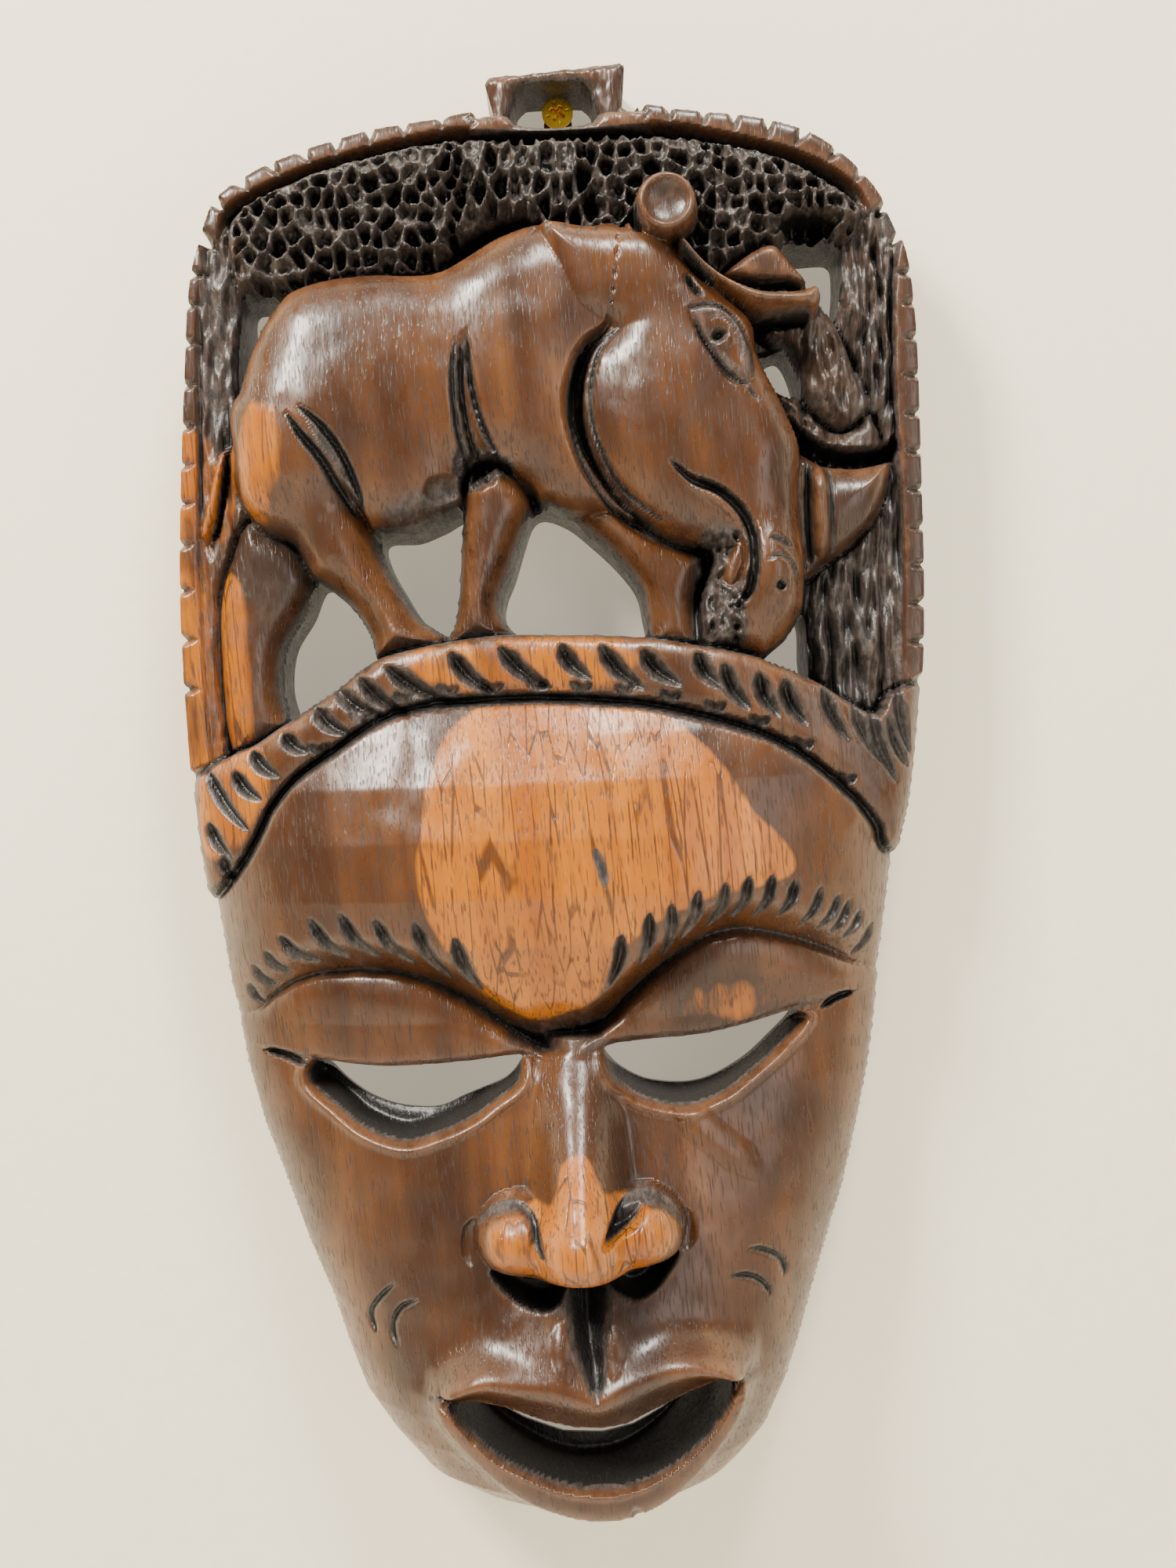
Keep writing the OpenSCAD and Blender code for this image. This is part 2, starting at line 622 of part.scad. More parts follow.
module left_eyelid() {
    color(HEARTWOOD) face_region([-104, -255], [-10, -226]) difference() {
        between(LEFT_BROW_LOW, LEFT_LID_LOW);
        plan(NOSE);
    }
}

module right_eyelid() {
    color(SAPWOOD) face_region([-4, -251], [84, -219]) difference() {
        between(RIGHT_BROW_LOW, RIGHT_LID_LOW);
        plan(NOSE);
    }
}

module nose() {
    color(SAPWOOD) face_region([-32, -312], [24, -246], FINE_STEP) plan(NOSE);
}

module below_lids_plan() {
    between(concat(LEFT_LID_LOW, RIGHT_LID_LOW), [[-120, -390], [120, -390]]);
}

module mouth_parts_plan() {
    between(UPPER_LIP_TOP, MOUTH_TOP);
    between(MOUTH_TOP, LIP_LOW);
    plan(NOSE);
    chin_plan();
}

module chin_plan() {
    between([[-41, -345], [35, -338]], [[-41, -390], [35, -390]]);
}

module left_cheek() {
    color(HEARTWOOD) face_region([-98, -376], [-6, -240]) difference() {
        intersection() {
            below_lids_plan();
            between([[-120, -200], [NOSE_X, -200]], [[-120, -390], [NOSE_X, -390]]);
        }
        mouth_parts_plan();
    }
}

module right_cheek() {
    color(HEARTWOOD) face_region([-6, -376], [82, -234]) difference() {
        intersection() {
            below_lids_plan();
            between([[NOSE_X, -200], [120, -200]], [[NOSE_X, -390], [120, -390]]);
        }
        mouth_parts_plan();
    }
}

module upper_lip() {
    color(HEARTWOOD) face_region([-43, -344], [39, -296], FINE_STEP) difference() {
        between(UPPER_LIP_TOP, MOUTH_TOP);
        plan(NOSE);
    }
}

module lower_lip() {
    color(REDWOOD) carved([-43, -368], [39, -327], function(x, z) lip_front(x, z), function(x, z) lip_back(x, z),
                          FINE_STEP) {
        difference() {
            between(MOUTH_SILL, LIP_LOW);
            between(UPPER_LIP_TOP, MOUTH_TOP);
        }
    }
}

module chin() {
    color(REDWOOD) face_region([-43, -378], [37, -336], FINE_STEP) difference() {
        chin_plan();
        between(MOUTH_TOP, LIP_LOW);
        between(UPPER_LIP_TOP, MOUTH_TOP);
    }
}

// Countersunk wood screw along +Y, its head's face at head_out in front of the wall.
module wall_screw() {
    pitch = 1.8;
    root_r = screw_d * 0.36;
    crest_r = screw_d / 2;
    head_r = head_d / 2;
    edge = 0.6;
    cone = head_r - root_r;
    shank_end = head_out + 2;
    tip = 4;
    turns = floor((screw_l - shank_end - tip) / pitch);
    ridges = [for (k = [0 : turns - 1]) let (y = shank_end + k * pitch)
        each [[root_r, y], [crest_r, y + 0.7], [crest_r, y + 0.9], [root_r, y + 1.6]]];
    recess = head_d * 0.28;
    color("gold") translate([0, -head_out, 0]) rotate([-90, 0, 0]) difference() {
        rotate_extrude($fn = 48) polygon(concat(
            [[0, 0], [head_r, 0], [head_r, edge], [root_r, edge + cone]], ridges,
            [[root_r, screw_l - tip], [0, screw_l]]));
        for (turn = [0, 90]) {
            rotate([0, 0, turn + 20]) translate([-recess, -0.55, -1]) cube([2 * recess, 1.1, 3]);
        }
    }
}

// Nylon plug in the wall, its lip on the wall's face and its inner end split in four.
module wall_plug() {
    lip = 0.8;
    split = 1;
    split_from = plug_l * 0.55;
    color("lightgray") difference() {
        union() {
            rotate([-90, 0, 0]) cylinder(h = plug_l, d = plug_d, $fn = 48);
            translate([0, -lip, 0]) rotate([-90, 0, 0]) cylinder(h = lip, d = plug_d + 0.8, $fn = 48);
        }
        translate([0, -lip - 1, 0]) rotate([-90, 0, 0]) {
            cylinder(h = plug_l + lip + 2, r = screw_d / 2 + thread_gap, $fn = 48);
        }
        translate([-plug_d, split_from, -split / 2]) cube([2 * plug_d, plug_l, split]);
        translate([-split / 2, split_from, -plug_d]) cube([split, plug_l, 2 * plug_d]);
    }
}

hanging_lug();
rim_top();
left_post();
right_post();
leaf_canopy();
buffalo_body();
buffalo_head();
buffalo_ear();
buffalo_tail();
near_hind_leg();
far_hind_leg();
near_foreleg();
far_foreleg();
near_horn();
far_horn();
ringed_horn();
vine_branch();
bark_panel();
braid_arch();
forehead();
left_brow();
right_brow();
left_eyelid();
right_eyelid();
nose();
left_cheek();
right_cheek();
upper_lip();
lower_lip();
chin();
wall_screw();
wall_plug();
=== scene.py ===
"""Looks of a long carved wall mask: a face under an openwork crest that shows a grazing buffalo.

The carving is one relief. Its front and its back are heights above the wall over a grid of plan points [x, z] in
millimetres, the same plan as the part's source. Carvers cut and stain that relief, painted shade is laid in its hollows
and under overhangs and painted highlight on some rims, and a sawyer divides it into one closed piece for each region of
the block. The wall is y = 0 and the carving faces -Y.
"""

import logging
import math
from dataclasses import dataclass, field
from enum import Enum

import bpy
import numpy as np
from mathutils import Matrix, Vector


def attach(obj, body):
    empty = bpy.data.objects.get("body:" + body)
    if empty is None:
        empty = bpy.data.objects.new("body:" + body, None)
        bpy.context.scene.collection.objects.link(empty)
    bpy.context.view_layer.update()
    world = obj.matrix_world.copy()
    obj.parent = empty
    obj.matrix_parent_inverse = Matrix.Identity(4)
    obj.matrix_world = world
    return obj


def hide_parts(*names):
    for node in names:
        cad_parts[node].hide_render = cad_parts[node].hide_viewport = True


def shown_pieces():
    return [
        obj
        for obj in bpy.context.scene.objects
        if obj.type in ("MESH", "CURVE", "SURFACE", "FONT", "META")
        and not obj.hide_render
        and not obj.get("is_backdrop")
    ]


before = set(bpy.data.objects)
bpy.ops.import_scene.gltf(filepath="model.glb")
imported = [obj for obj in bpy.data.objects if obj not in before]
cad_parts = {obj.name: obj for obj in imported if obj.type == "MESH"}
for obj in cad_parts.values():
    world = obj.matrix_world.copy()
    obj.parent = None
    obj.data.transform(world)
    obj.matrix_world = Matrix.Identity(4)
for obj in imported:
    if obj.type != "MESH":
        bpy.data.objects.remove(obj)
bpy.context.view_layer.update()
LOG = logging.getLogger("mask")
MM = 0.001
Plan = list[tuple[float, float]]
Window = tuple[slice, slice]

# Side edges of the carving, from the crest down to the chin, and the rim's top edge.
LEFT_EDGE = [
    (-91.5, -26), (-95.5, -37), (-98.5, -50), (-100.5, -75), (-102.5, -105), (-103.5, -137), (-102.5, -171),
    (-101.5, -190), (-99, -211), (-96, -233), (-92.5, -254), (-88.5, -270), (-82.5, -287), (-77.5, -302),
    (-71.5, -317), (-67.5, -330), (-63.5, -341), (-57.5, -350), (-49, -360), (-34, -369), (-18, -373)]
RIGHT_EDGE = [
    (18, -372), (35, -364), (44.5, -354), (50, -343), (54.5, -330), (58.5, -317), (62.5, -305), (67, -292),
    (71.5, -275), (75, -260), (77.5, -245), (79.5, -228), (83.5, -202), (86.5, -190), (88.5, -177), (90.5, -160),
    (92, -135), (92.5, -80), (92, -60), (90.5, -46), (87, -36), (82.5, -28)]
TOP_EDGE = [
    (77, -21.5), (69, -15), (60, -11), (50, -8.5), (40, -7.2), (30, -5.8), (20, -4.5), (-20, -5), (-30, -6.3),
    (-40, -7.5), (-50, -9), (-60, -11.5), (-70, -14.5), (-78, -17.5), (-87, -22.5)]
CHIN_POINT = [(0, -374.5)]
RIM_INNER = [
    (-90, -37), (-87, -29), (-79, -24.5), (-68, -20), (-58, -17), (-48, -14.5), (-38, -12.5), (-28, -11), (-14, -11),
    (20, -11), (30, -11.5), (40, -13.5), (50, -16), (60, -19), (69, -23), (77, -29), (81, -35)]
TUNNEL = [
    (-11.33, -8.6), (9.27, -8.6), (9.27, 0.4), (8.7, 2.4), (7.2, 3.9), (5.2, 4.5), (-7.2, 4.5), (-9.2, 3.9),
    (-10.8, 2.4), (-11.33, 0.4)]

# Gaps that go right through the crest.
GAPS = {
    "rump": [(-84, -50), (-74, -53), (-79, -61), (-83, -69), (-85.5, -78), (-87, -70), (-85.5, -58)],
    "top_right": [(58, -42.5), (66, -41.6), (73, -42), (74, -48), (73, -57), (71, -62), (66, -55), (61, -48)],
    "small": [(50, -71), (54, -69.5), (58, -68.5), (61, -74), (62, -82), (56, -80), (52, -77)],
    "hind": [(-68, -127), (-72, -135), (-77, -143), (-78.5, -152), (-77.5, -159), (-75, -163.5), (-68, -160),
             (-62, -156), (-57, -152.5), (-52, -149), (-54, -142), (-58, -135), (-63, -130)],
    "belly": [(-50.5, -115), (-42, -114.5), (-35, -112), (-28.5, -109.5), (-29.5, -120), (-30.5, -132), (-32, -140),
              (-34, -142), (-41, -137), (-46, -129), (-50, -121)],
    "chest": [(-10.5, -111), (-7, -109.5), (-1, -112), (5, -117), (12, -124), (17, -131), (18.5, -138), (18.5, -144),
              (10, -144.5), (0, -144), (-10, -143.5), (-16, -142), (-19, -137), (-18.5, -132), (-16, -126),
              (-13, -117)],
    "muzzle": [(49, -152), (55, -146.5), (59, -140), (61, -142), (61, -150), (60.8, -157), (55, -154.5)],
}

# Outlines of the crest's figures.
BODY = [
    (-88, -84), (-85.5, -77), (-82, -67), (-78, -59), (-73, -53), (-66, -50), (-58, -48.5), (-48, -48), (-38, -48.5),
    (-31, -47.5), (-24, -44), (-17, -40), (-9, -37), (-2, -36.5), (6, -37.5), (16, -38.5), (24, -60), (20, -110),
    (9, -112), (-1, -112), (-7, -109.5), (-12, -104), (-26, -100), (-28.5, -109.5), (-35, -112), (-42, -114.5),
    (-50.5, -115), (-60, -118), (-80, -114), (-85, -107), (-86.5, -98)]
HEAD = [
    (16, -38.5), (22, -39.5), (28, -42), (33, -49), (40, -56), (46, -61), (49, -65), (50, -71), (52, -77), (56, -86),
    (60, -97), (59, -108), (59.5, -120), (60, -131), (59, -140), (55, -146.5), (49, -152), (42, -150.5), (33, -149),
    (33, -136), (36, -124), (26, -120), (17, -114), (9, -105), (3, -95), (1, -84), (4, -72), (12, -62)]
TAIL = [(-88, -92), (-90, -98), (-92, -106), (-95, -114), (-97.5, -114), (-95, -104), (-91.5, -93)]
NEAR_HIND = [
    (-88, -90), (-80, -86), (-72, -83), (-64, -92), (-58, -103), (-53, -112), (-50, -121), (-46, -129), (-41, -137),
    (-34, -142), (-30, -146), (-52, -150), (-54, -142), (-58, -135), (-63, -130), (-68, -127), (-71.5, -120),
    (-74, -116.5), (-80, -114), (-86, -107), (-89, -98)]
FAR_HIND = [
    (-86, -110), (-80, -113), (-71.5, -118), (-68, -127), (-72, -135), (-77, -143), (-78.5, -152), (-77.5, -159),
    (-75, -165), (-84, -172), (-92, -172), (-94, -157), (-94.5, -143), (-94, -130), (-91, -120)]
NEAR_FORE = [
    (-26, -100), (-28.5, -109.5), (-29.5, -120), (-30.5, -132), (-32, -140), (-34, -146), (-15, -146), (-19, -137),
    (-18.5, -132), (-16, -126), (-13, -117), (-10.5, -111), (-12, -104), (-19, -98)]
FAR_FORE = [
    (9, -105), (-1, -112), (5, -117), (12, -124), (17, -131), (18.5, -138), (18.5, -148), (34, -150), (33, -136),
    (36, -124), (26, -118), (17, -112)]
NEAR_HORN = [
    (31, -43), (37, -50), (44, -55), (52, -58), (60, -58), (65, -57), (66, -61), (63, -64), (55, -63), (48, -62),
    (42, -58), (36, -53), (30, -47)]
FAR_HORN = [
    (42, -50), (50, -44.5), (58, -43), (61, -48), (66, -55), (71, -62), (76, -74), (80, -87), (72, -92), (64, -86),
    (62, -82), (61, -74), (58, -68.5), (52, -66), (46, -58)]
RINGED = [
    (58, -99), (67, -101), (76, -101.5), (84, -100), (83.5, -108), (80, -116), (74, -122), (67, -127), (59, -130)]
VINE = [
    (50, -71), (56, -80), (62, -82), (64, -86), (72, -92), (80, -87), (84, -97), (84, -100), (76, -101.5), (67, -101),
    (58, -99)]
BARK = [(56, -120), (80, -112), (81, -130), (80.5, -150), (79, -168), (60, -164), (54, -150)]
LEFT_POST = [(-110, -37), (-86, -37), (-84, -50), (-85.5, -70), (-82, -95), (-80, -120), (-84, -175), (-110, -182)]
RIGHT_POST = [(110, -35), (76, -35), (73, -42), (71, -62), (76, -74), (80, -100), (78, -168), (110, -156)]
EAR_CENTRE, EAR_R = (27.0, -35.5), 8.2

# The braid over the forehead and the lines across the face, left to right.
ARCH_TOP = [
    (-110, -182), (-92, -172), (-84, -169), (-75, -163.5), (-62, -156), (-52, -149), (-40, -146), (-30, -144.5),
    (-16, -143.5), (0, -144), (10, -144.5), (20, -145.5), (30, -147.5), (40, -149.5), (49, -152), (60.5, -157),
    (70, -163), (78, -166.5), (84, -160), (110, -155)]
ARCH_LOW = [
    (-110, -214), (-97, -208), (-88, -200), (-83, -193), (-79, -186), (-72, -178.5), (-62, -172), (-52, -165.5),
    (-42, -162), (-30, -160.8), (-10, -160.5), (10, -162), (20, -163.5), (30, -166), (40, -169), (50, -173),
    (58, -178), (66, -184.5), (72, -190), (77, -196), (82, -203), (110, -206)]
LEFT_BROW_TOP = [
    (-110, -234), (-90, -226), (-84, -221), (-78, -217), (-70, -213), (-60, -211), (-50, -212), (-40, -214),
    (-33, -218), (-27, -226), (-20, -236), (-8, -247)]
LEFT_BROW_LOW = [
    (-110, -246), (-88, -239.5), (-82, -235), (-74, -230.5), (-64, -228.5), (-52, -228.5), (-42, -231), (-33, -235.5),
    (-25, -241), (-17, -247), (-12, -250)]
LEFT_LID_LOW = [(-110, -247), (-86, -249), (-76, -250.5), (-64, -252.5), (-50, -253), (-32, -251.8), (-12, -250.3)]
RIGHT_BROW_TOP = [
    (-8, -247), (-2, -238), (3, -228), (7, -220.5), (14, -215), (20, -212.5), (28, -209.5), (36, -207.5), (44, -206),
    (52, -206.5), (60, -208.5), (66, -211.5), (72, -215.5), (78, -220), (110, -228)]
RIGHT_BROW_LOW = [
    (-2, -248.5), (5, -243), (12, -236), (19, -230), (26, -225), (32, -222), (40, -221), (48, -222.5), (56, -225),
    (64, -228.5), (72, -232.5), (110, -246)]
RIGHT_LID_LOW = [
    (-2, -249), (3, -248.8), (14, -247.5), (28, -247), (40, -245), (52, -242), (62, -240.3), (72, -239.5),
    (110, -236)]
NOSE = [
    (-12, -250), (-2, -248.5), (3, -254), (4, -263), (6, -275), (9, -281), (15, -282), (20, -287), (21, -294),
    (20, -299), (14, -302), (7, -305), (0, -307.5), (-6, -308), (-13, -306.5), (-20, -304), (-27, -301.5),
    (-30, -296), (-29, -289), (-25, -283), (-18, -280), (-15, -270), (-16, -257)]
MOUTH_TOP = [
    (-39, -335), (-31, -334.5), (-23, -336), (-15, -339), (-7, -341), (0, -341.5), (6, -340.5), (14, -337),
    (22, -333.5), (29, -331.5), (34.5, -331.5)]
MOUTH_SILL = [
    (-39, -335), (-30, -338.5), (-20, -343.5), (-10, -346.8), (0, -347.5), (8, -346.3), (16, -343), (24, -338),
    (34.5, -331.5)]
MOUTH_LOW = [
    (-39, -335), (-33, -342.5), (-26, -349), (-18, -354), (-10, -357.5), (0, -359), (8, -357.5), (16, -353.5),
    (24, -347), (30, -340), (34.5, -331.5)]
UPPER_LIP_TOP = [
    (-39, -335), (-41, -331), (-37, -321), (-30, -314), (-24, -308), (-24, -300), (16, -298), (22, -305), (28, -314),
    (34, -322), (36.5, -329), (34.5, -331.5)]
LIP_LOW = [
    (-41, -331), (-40, -339), (-34, -347), (-28, -353), (-21, -358.5), (-14, -362), (-6, -364.5), (2, -365),
    (9, -363.5), (16, -360), (23, -354), (30, -346), (35, -338), (36.5, -329)]

# Heights of the face's centre line above the wall, as (z, height).
CROWN = [
    (-375, 16), (-371, 30), (-366, 44), (-360, 52), (-350, 56), (-335, 58), (-318, 56), (-300, 54), (-280, 52),
    (-265, 50), (-252, 49), (-242, 50), (-232, 54), (-222, 59), (-210, 62), (-196, 62), (-182, 59), (-170, 54),
    (-160, 49), (-145, 46)]


class Paint(Enum):
    """The channels painted on the relief, each from 0 to 1: black stain, which in hollows and under overhangs is also
    painted shade; sapwood; rubbing, which on rims and ridges is also painted highlight; and a darker tone, which on the
    upper lip's underside is painted shade.
    """

    STAIN_AND_SHADE = 0
    SAPWOOD = 1
    WEAR_AND_HIGHLIGHT = 2
    DARK = 3


# ---------------------------------------------------------------- curves and distances


def smooth(points: Plan, closed: bool = False, per: int = 6) -> np.ndarray:
    """A Catmull-Rom curve through the points.

    Between b and c, with a before and d after, it is half of
    2b + (c - a)t + (2a - 5b + 4c - d)t^2 + (3b - a - 3c + d)t^3.

    Args:
        points: plan points in order.
        closed: whether the last point joins the first.
        per: points made for each stretch.

    Returns:
        The curve's points, one row each.
    """
    p = np.asarray(points, float)
    ends = (p[-1:], p[:2]) if closed else (2 * p[:1] - p[1:2], 2 * p[-1:] - p[-2:-1])
    p = np.vstack([ends[0], p, ends[1]])
    a, b, c, d = (p[k:len(p) - 3 + k, None] for k in range(4))
    t = (np.arange(per) / per)[None, :, None]
    curve = (2 * b + (c - a) * t + (2 * a - 5 * b + 4 * c - d) * t**2 + (3 * b - a - 3 * c + d) * t**3) / 2
    curve = curve.reshape(-1, 2)
    return curve if closed else np.vstack([curve, p[-2]])


def between(upper: Plan, lower: Plan) -> Plan:
    """The outline of the area between two lines that both run left to right."""
    return [*upper, *reversed(lower)]


def ease(t: np.ndarray) -> np.ndarray:
    """3t^2 - 2t^3 with t held between 0 and 1."""
    t = np.clip(t, 0, 1)
    return t * t * (3 - 2 * t)


def along(x: np.ndarray, z: np.ndarray, path: np.ndarray) -> tuple[np.ndarray, np.ndarray]:
    """Distance from plan points to an open path, and the share of its length where the nearest place lies.

    Args:
        x: the points' x.
        z: the points' z, of the same shape.
        path: the path's points.

    Returns:
        The distances and the shares, both shaped as x.
    """
    a, step = path[:-1], np.diff(path, axis=0)
    length = np.maximum(np.hypot(*step.T), 1e-9)
    start = np.concatenate([[0], np.cumsum(length)[:-1]])
    flat = np.stack([x.ravel(), z.ravel()], 1)
    gap, share = np.empty(len(flat)), np.empty(len(flat))
    chunk = max(1, 4_000_000 // len(a))
    for first in range(0, len(flat), chunk):
        part = flat[first:first + chunk, None] - a[None]
        t = np.clip((part * step).sum(2) / length**2, 0, 1)
        d = np.hypot(*(part - t[..., None] * step).transpose(2, 0, 1))
        k = d.argmin(1)
        row = np.arange(len(k))
        gap[first:first + chunk] = d[row, k]
        share[first:first + chunk] = (start[k] + t[row, k] * length[k]) / length.sum()
    return gap.reshape(x.shape), share.reshape(x.shape)


def depth_inside(x: np.ndarray, z: np.ndarray, outline: np.ndarray) -> np.ndarray:
    """Distance from a closed outline, positive inside it, by counting the edges that a line to the right crosses."""
    a, b = outline, np.roll(outline, -1, axis=0)
    flat_x, flat_z = x.ravel(), z.ravel()
    inside = np.empty(len(flat_x), bool)
    chunk = max(1, 4_000_000 // len(a))
    rise = np.where(np.abs(b[:, 1] - a[:, 1]) < 1e-12, 1e-12, b[:, 1] - a[:, 1])
    for first in range(0, len(flat_x), chunk):
        px, pz = flat_x[first:first + chunk, None], flat_z[first:first + chunk, None]
        spans = (a[:, 1] > pz) != (b[:, 1] > pz)
        hits = spans & (px < a[:, 0] + (b[:, 0] - a[:, 0]) * (pz - a[:, 1]) / rise)
        inside[first:first + chunk] = hits.sum(1) % 2 == 1
    gap = along(x, z, np.vstack([outline, outline[:1]]))[0]
    return np.where(inside.reshape(x.shape), gap, -gap)


def blurred(height: np.ndarray, cells: float) -> np.ndarray:
    """A Gaussian blur, whose spectrum is exp(-2 pi^2 s^2 f^2) for a spread of s cells."""
    fz = np.fft.fftfreq(height.shape[0])[:, None]
    fx = np.fft.rfftfreq(height.shape[1])[None]
    spectrum = np.fft.rfft2(height) * np.exp(-2 * (math.pi * cells) ** 2 * (fx**2 + fz**2))
    return np.fft.irfft2(spectrum, height.shape)


def table(values: Plan, at: np.ndarray) -> np.ndarray:
    """The second column of a table, read off between its rows where the first column equals at."""
    rows = np.array(sorted(values), float)
    return np.interp(at, rows[:, 0], rows[:, 1])


# ---------------------------------------------------------------- the relief and the cuts that a carver makes

def curve(points: Plan, at: np.ndarray) -> np.ndarray:
    """Looks up a smoothed line, given by its points from left to right, at each place."""
    return table([tuple(p) for p in smooth(points)], at)



@dataclass
class Relief:
    """Front and back heights above the wall over a grid of plan points, with the paint on them."""

    step: float
    low: tuple[float, float] = (-109.0, -381.0)
    high: tuple[float, float] = (98.0, 14.0)
    xs: np.ndarray = field(init=False)
    zs: np.ndarray = field(init=False)
    x: np.ndarray = field(init=False)
    z: np.ndarray = field(init=False)
    front: np.ndarray = field(init=False)
    back: np.ndarray = field(init=False)
    inside: np.ndarray = field(init=False)
    paint: dict[Paint, np.ndarray] = field(init=False)

    def __post_init__(self) -> None:
        """Lays out the grid with rows along z and columns along x."""
        self.xs = np.arange(self.low[0], self.high[0], self.step)
        self.zs = np.arange(self.low[1], self.high[1], self.step)
        self.x, self.z = np.meshgrid(self.xs, self.zs)
        self.front = np.full_like(self.x, 20.0)
        self.back = np.zeros_like(self.x)
        self.inside = np.full_like(self.x, 99.0)
        self.paint = {channel: np.zeros_like(self.x) for channel in Paint}

    def near(self, path: np.ndarray, margin: float) -> Window:
        """The part of the grid that lies within a margin of a path's box."""
        lo, hi = path.min(0) - margin, path.max(0) + margin
        i, j = np.searchsorted(self.xs, [lo[0], hi[0]]), np.searchsorted(self.zs, [lo[1], hi[1]])
        return slice(j[0], j[1]), slice(i[0], i[1])

    def within(self, outline: Plan, margin: float) -> tuple[Window, np.ndarray]:
        """The window around a closed outline, grown by a margin, and the depth inside the outline there."""
        at = self.near(outline, margin)
        return at, depth_inside(self.x[at], self.z[at], outline)

    def add_paint(self, channel: Paint, at: Window, amount: np.ndarray) -> None:
        """Paints a channel up to an amount where it isn't painted more already."""
        layer = self.paint[channel]
        layer[at] = np.maximum(layer[at], np.clip(amount, 0, 1))

    def tint(self, channel: Paint, outline: Plan, amount: float, soft: float = 2.0) -> None:
        """Paints the inside of an outline, fading over a soft edge."""
        path = smooth(outline, closed=True)
        at, depth = self.within(path, soft)
        self.add_paint(channel, at, amount * ease(depth / soft + 0.5))

    def mound(self, outline: Plan, edge: float, rise: float, reach: float, blend: float = 1.2) -> tuple[Window,
                                                                                                        np.ndarray]:
        """Sets a rounded form: edge + rise * sqrt(1 - (1 - t)^2), where t is the depth inside the outline over reach.

        Args:
            outline: the form's plan.
            edge: its height at the outline.
            rise: how much higher its middle is.
            reach: how far from the outline the rounding runs.
            blend: width over which it meets what lies around it.

        Returns:
            The window that was cut and the depth inside the outline there.
        """
        path = smooth(outline, closed=True)
        at, depth = self.within(path, 3)
        t = np.clip(depth / reach, 0, 1)
        shape = edge + rise * np.sqrt(1 - (1 - t) ** 2)
        self.front[at] += ease(depth / blend + 0.5) * (shape - self.front[at])
        return at, depth

    def dome(self, centre: tuple[float, float], radii: tuple[float, float], rise: float, turn: float = 0.0) -> None:
        """Adds rise * (1 - r^2)^2 over an ellipse turned by an angle in degrees."""
        c, s = math.cos(math.radians(turn)), math.sin(math.radians(turn))
        reach = max(radii)
        at = self.near(np.array([centre]), reach)
        dx, dz = self.x[at] - centre[0], self.z[at] - centre[1]
        r2 = ((dx * c + dz * s) / radii[0]) ** 2 + ((dz * c - dx * s) / radii[1]) ** 2
        self.front[at] += rise * np.clip(1 - r2, 0, 1) ** 2

    def groove(self, points: Plan, width: float, depth: float, stain: float = 0.8, tip: float = 0.25,
               tail: float = 0.25, sharp: bool = False) -> None:
        """Cuts a gouge mark along a path, narrowing to both ends.

        The cut is depth * (1 - (d / w)^2), or depth * (1 - d / w) where it is sharp, at a distance d from the path.

        Args:
            points: the path.
            width: full width at its widest.
            depth: depth there; below zero it is a raised line.
            stain: how dark the cut is left.
            tip: share of the length over which the start narrows.
            tail: share over which the end narrows.
            sharp: whether the cut has a V section.
        """
        path = smooth(points) if len(points) > 2 else np.asarray(points, float)
        at = self.near(path, width + 1)
        d, u = along(self.x[at], self.z[at], path)
        narrow = np.sqrt(np.clip(np.minimum(u / max(tip, 1e-3), (1 - u) / max(tail, 1e-3)), 0.02, 1))
        t = d / (width / 2 * narrow)
        cut = np.clip(1 - t if sharp else 1 - t * t, 0, 1)
        self.front[at] -= depth * narrow * cut
        if stain:
            self.add_paint(Paint.STAIN_AND_SHADE, at, stain * ease(1.6 - t) * ease(narrow * 3))

    def slashes(self, cuts: list[tuple[float, float, float, float]], width: float, depth: float, bow: float = 0.0,
                stain: float = 0.9) -> None:
        """Cuts a row of leaf-shaped slashes, each from (x0, z0) to (x1, z1) and bowed to one side."""
        for x0, z0, x1, z1 in cuts:
            side = np.array([z0 - z1, x1 - x0]) / math.hypot(x1 - x0, z1 - z0)
            middle = (np.array([x0, z0]) + np.array([x1, z1])) / 2 + side * bow
            self.groove([(x0, z0), tuple(middle), (x1, z1)], width, depth, stain, tip=0.25, tail=0.55, sharp=True)

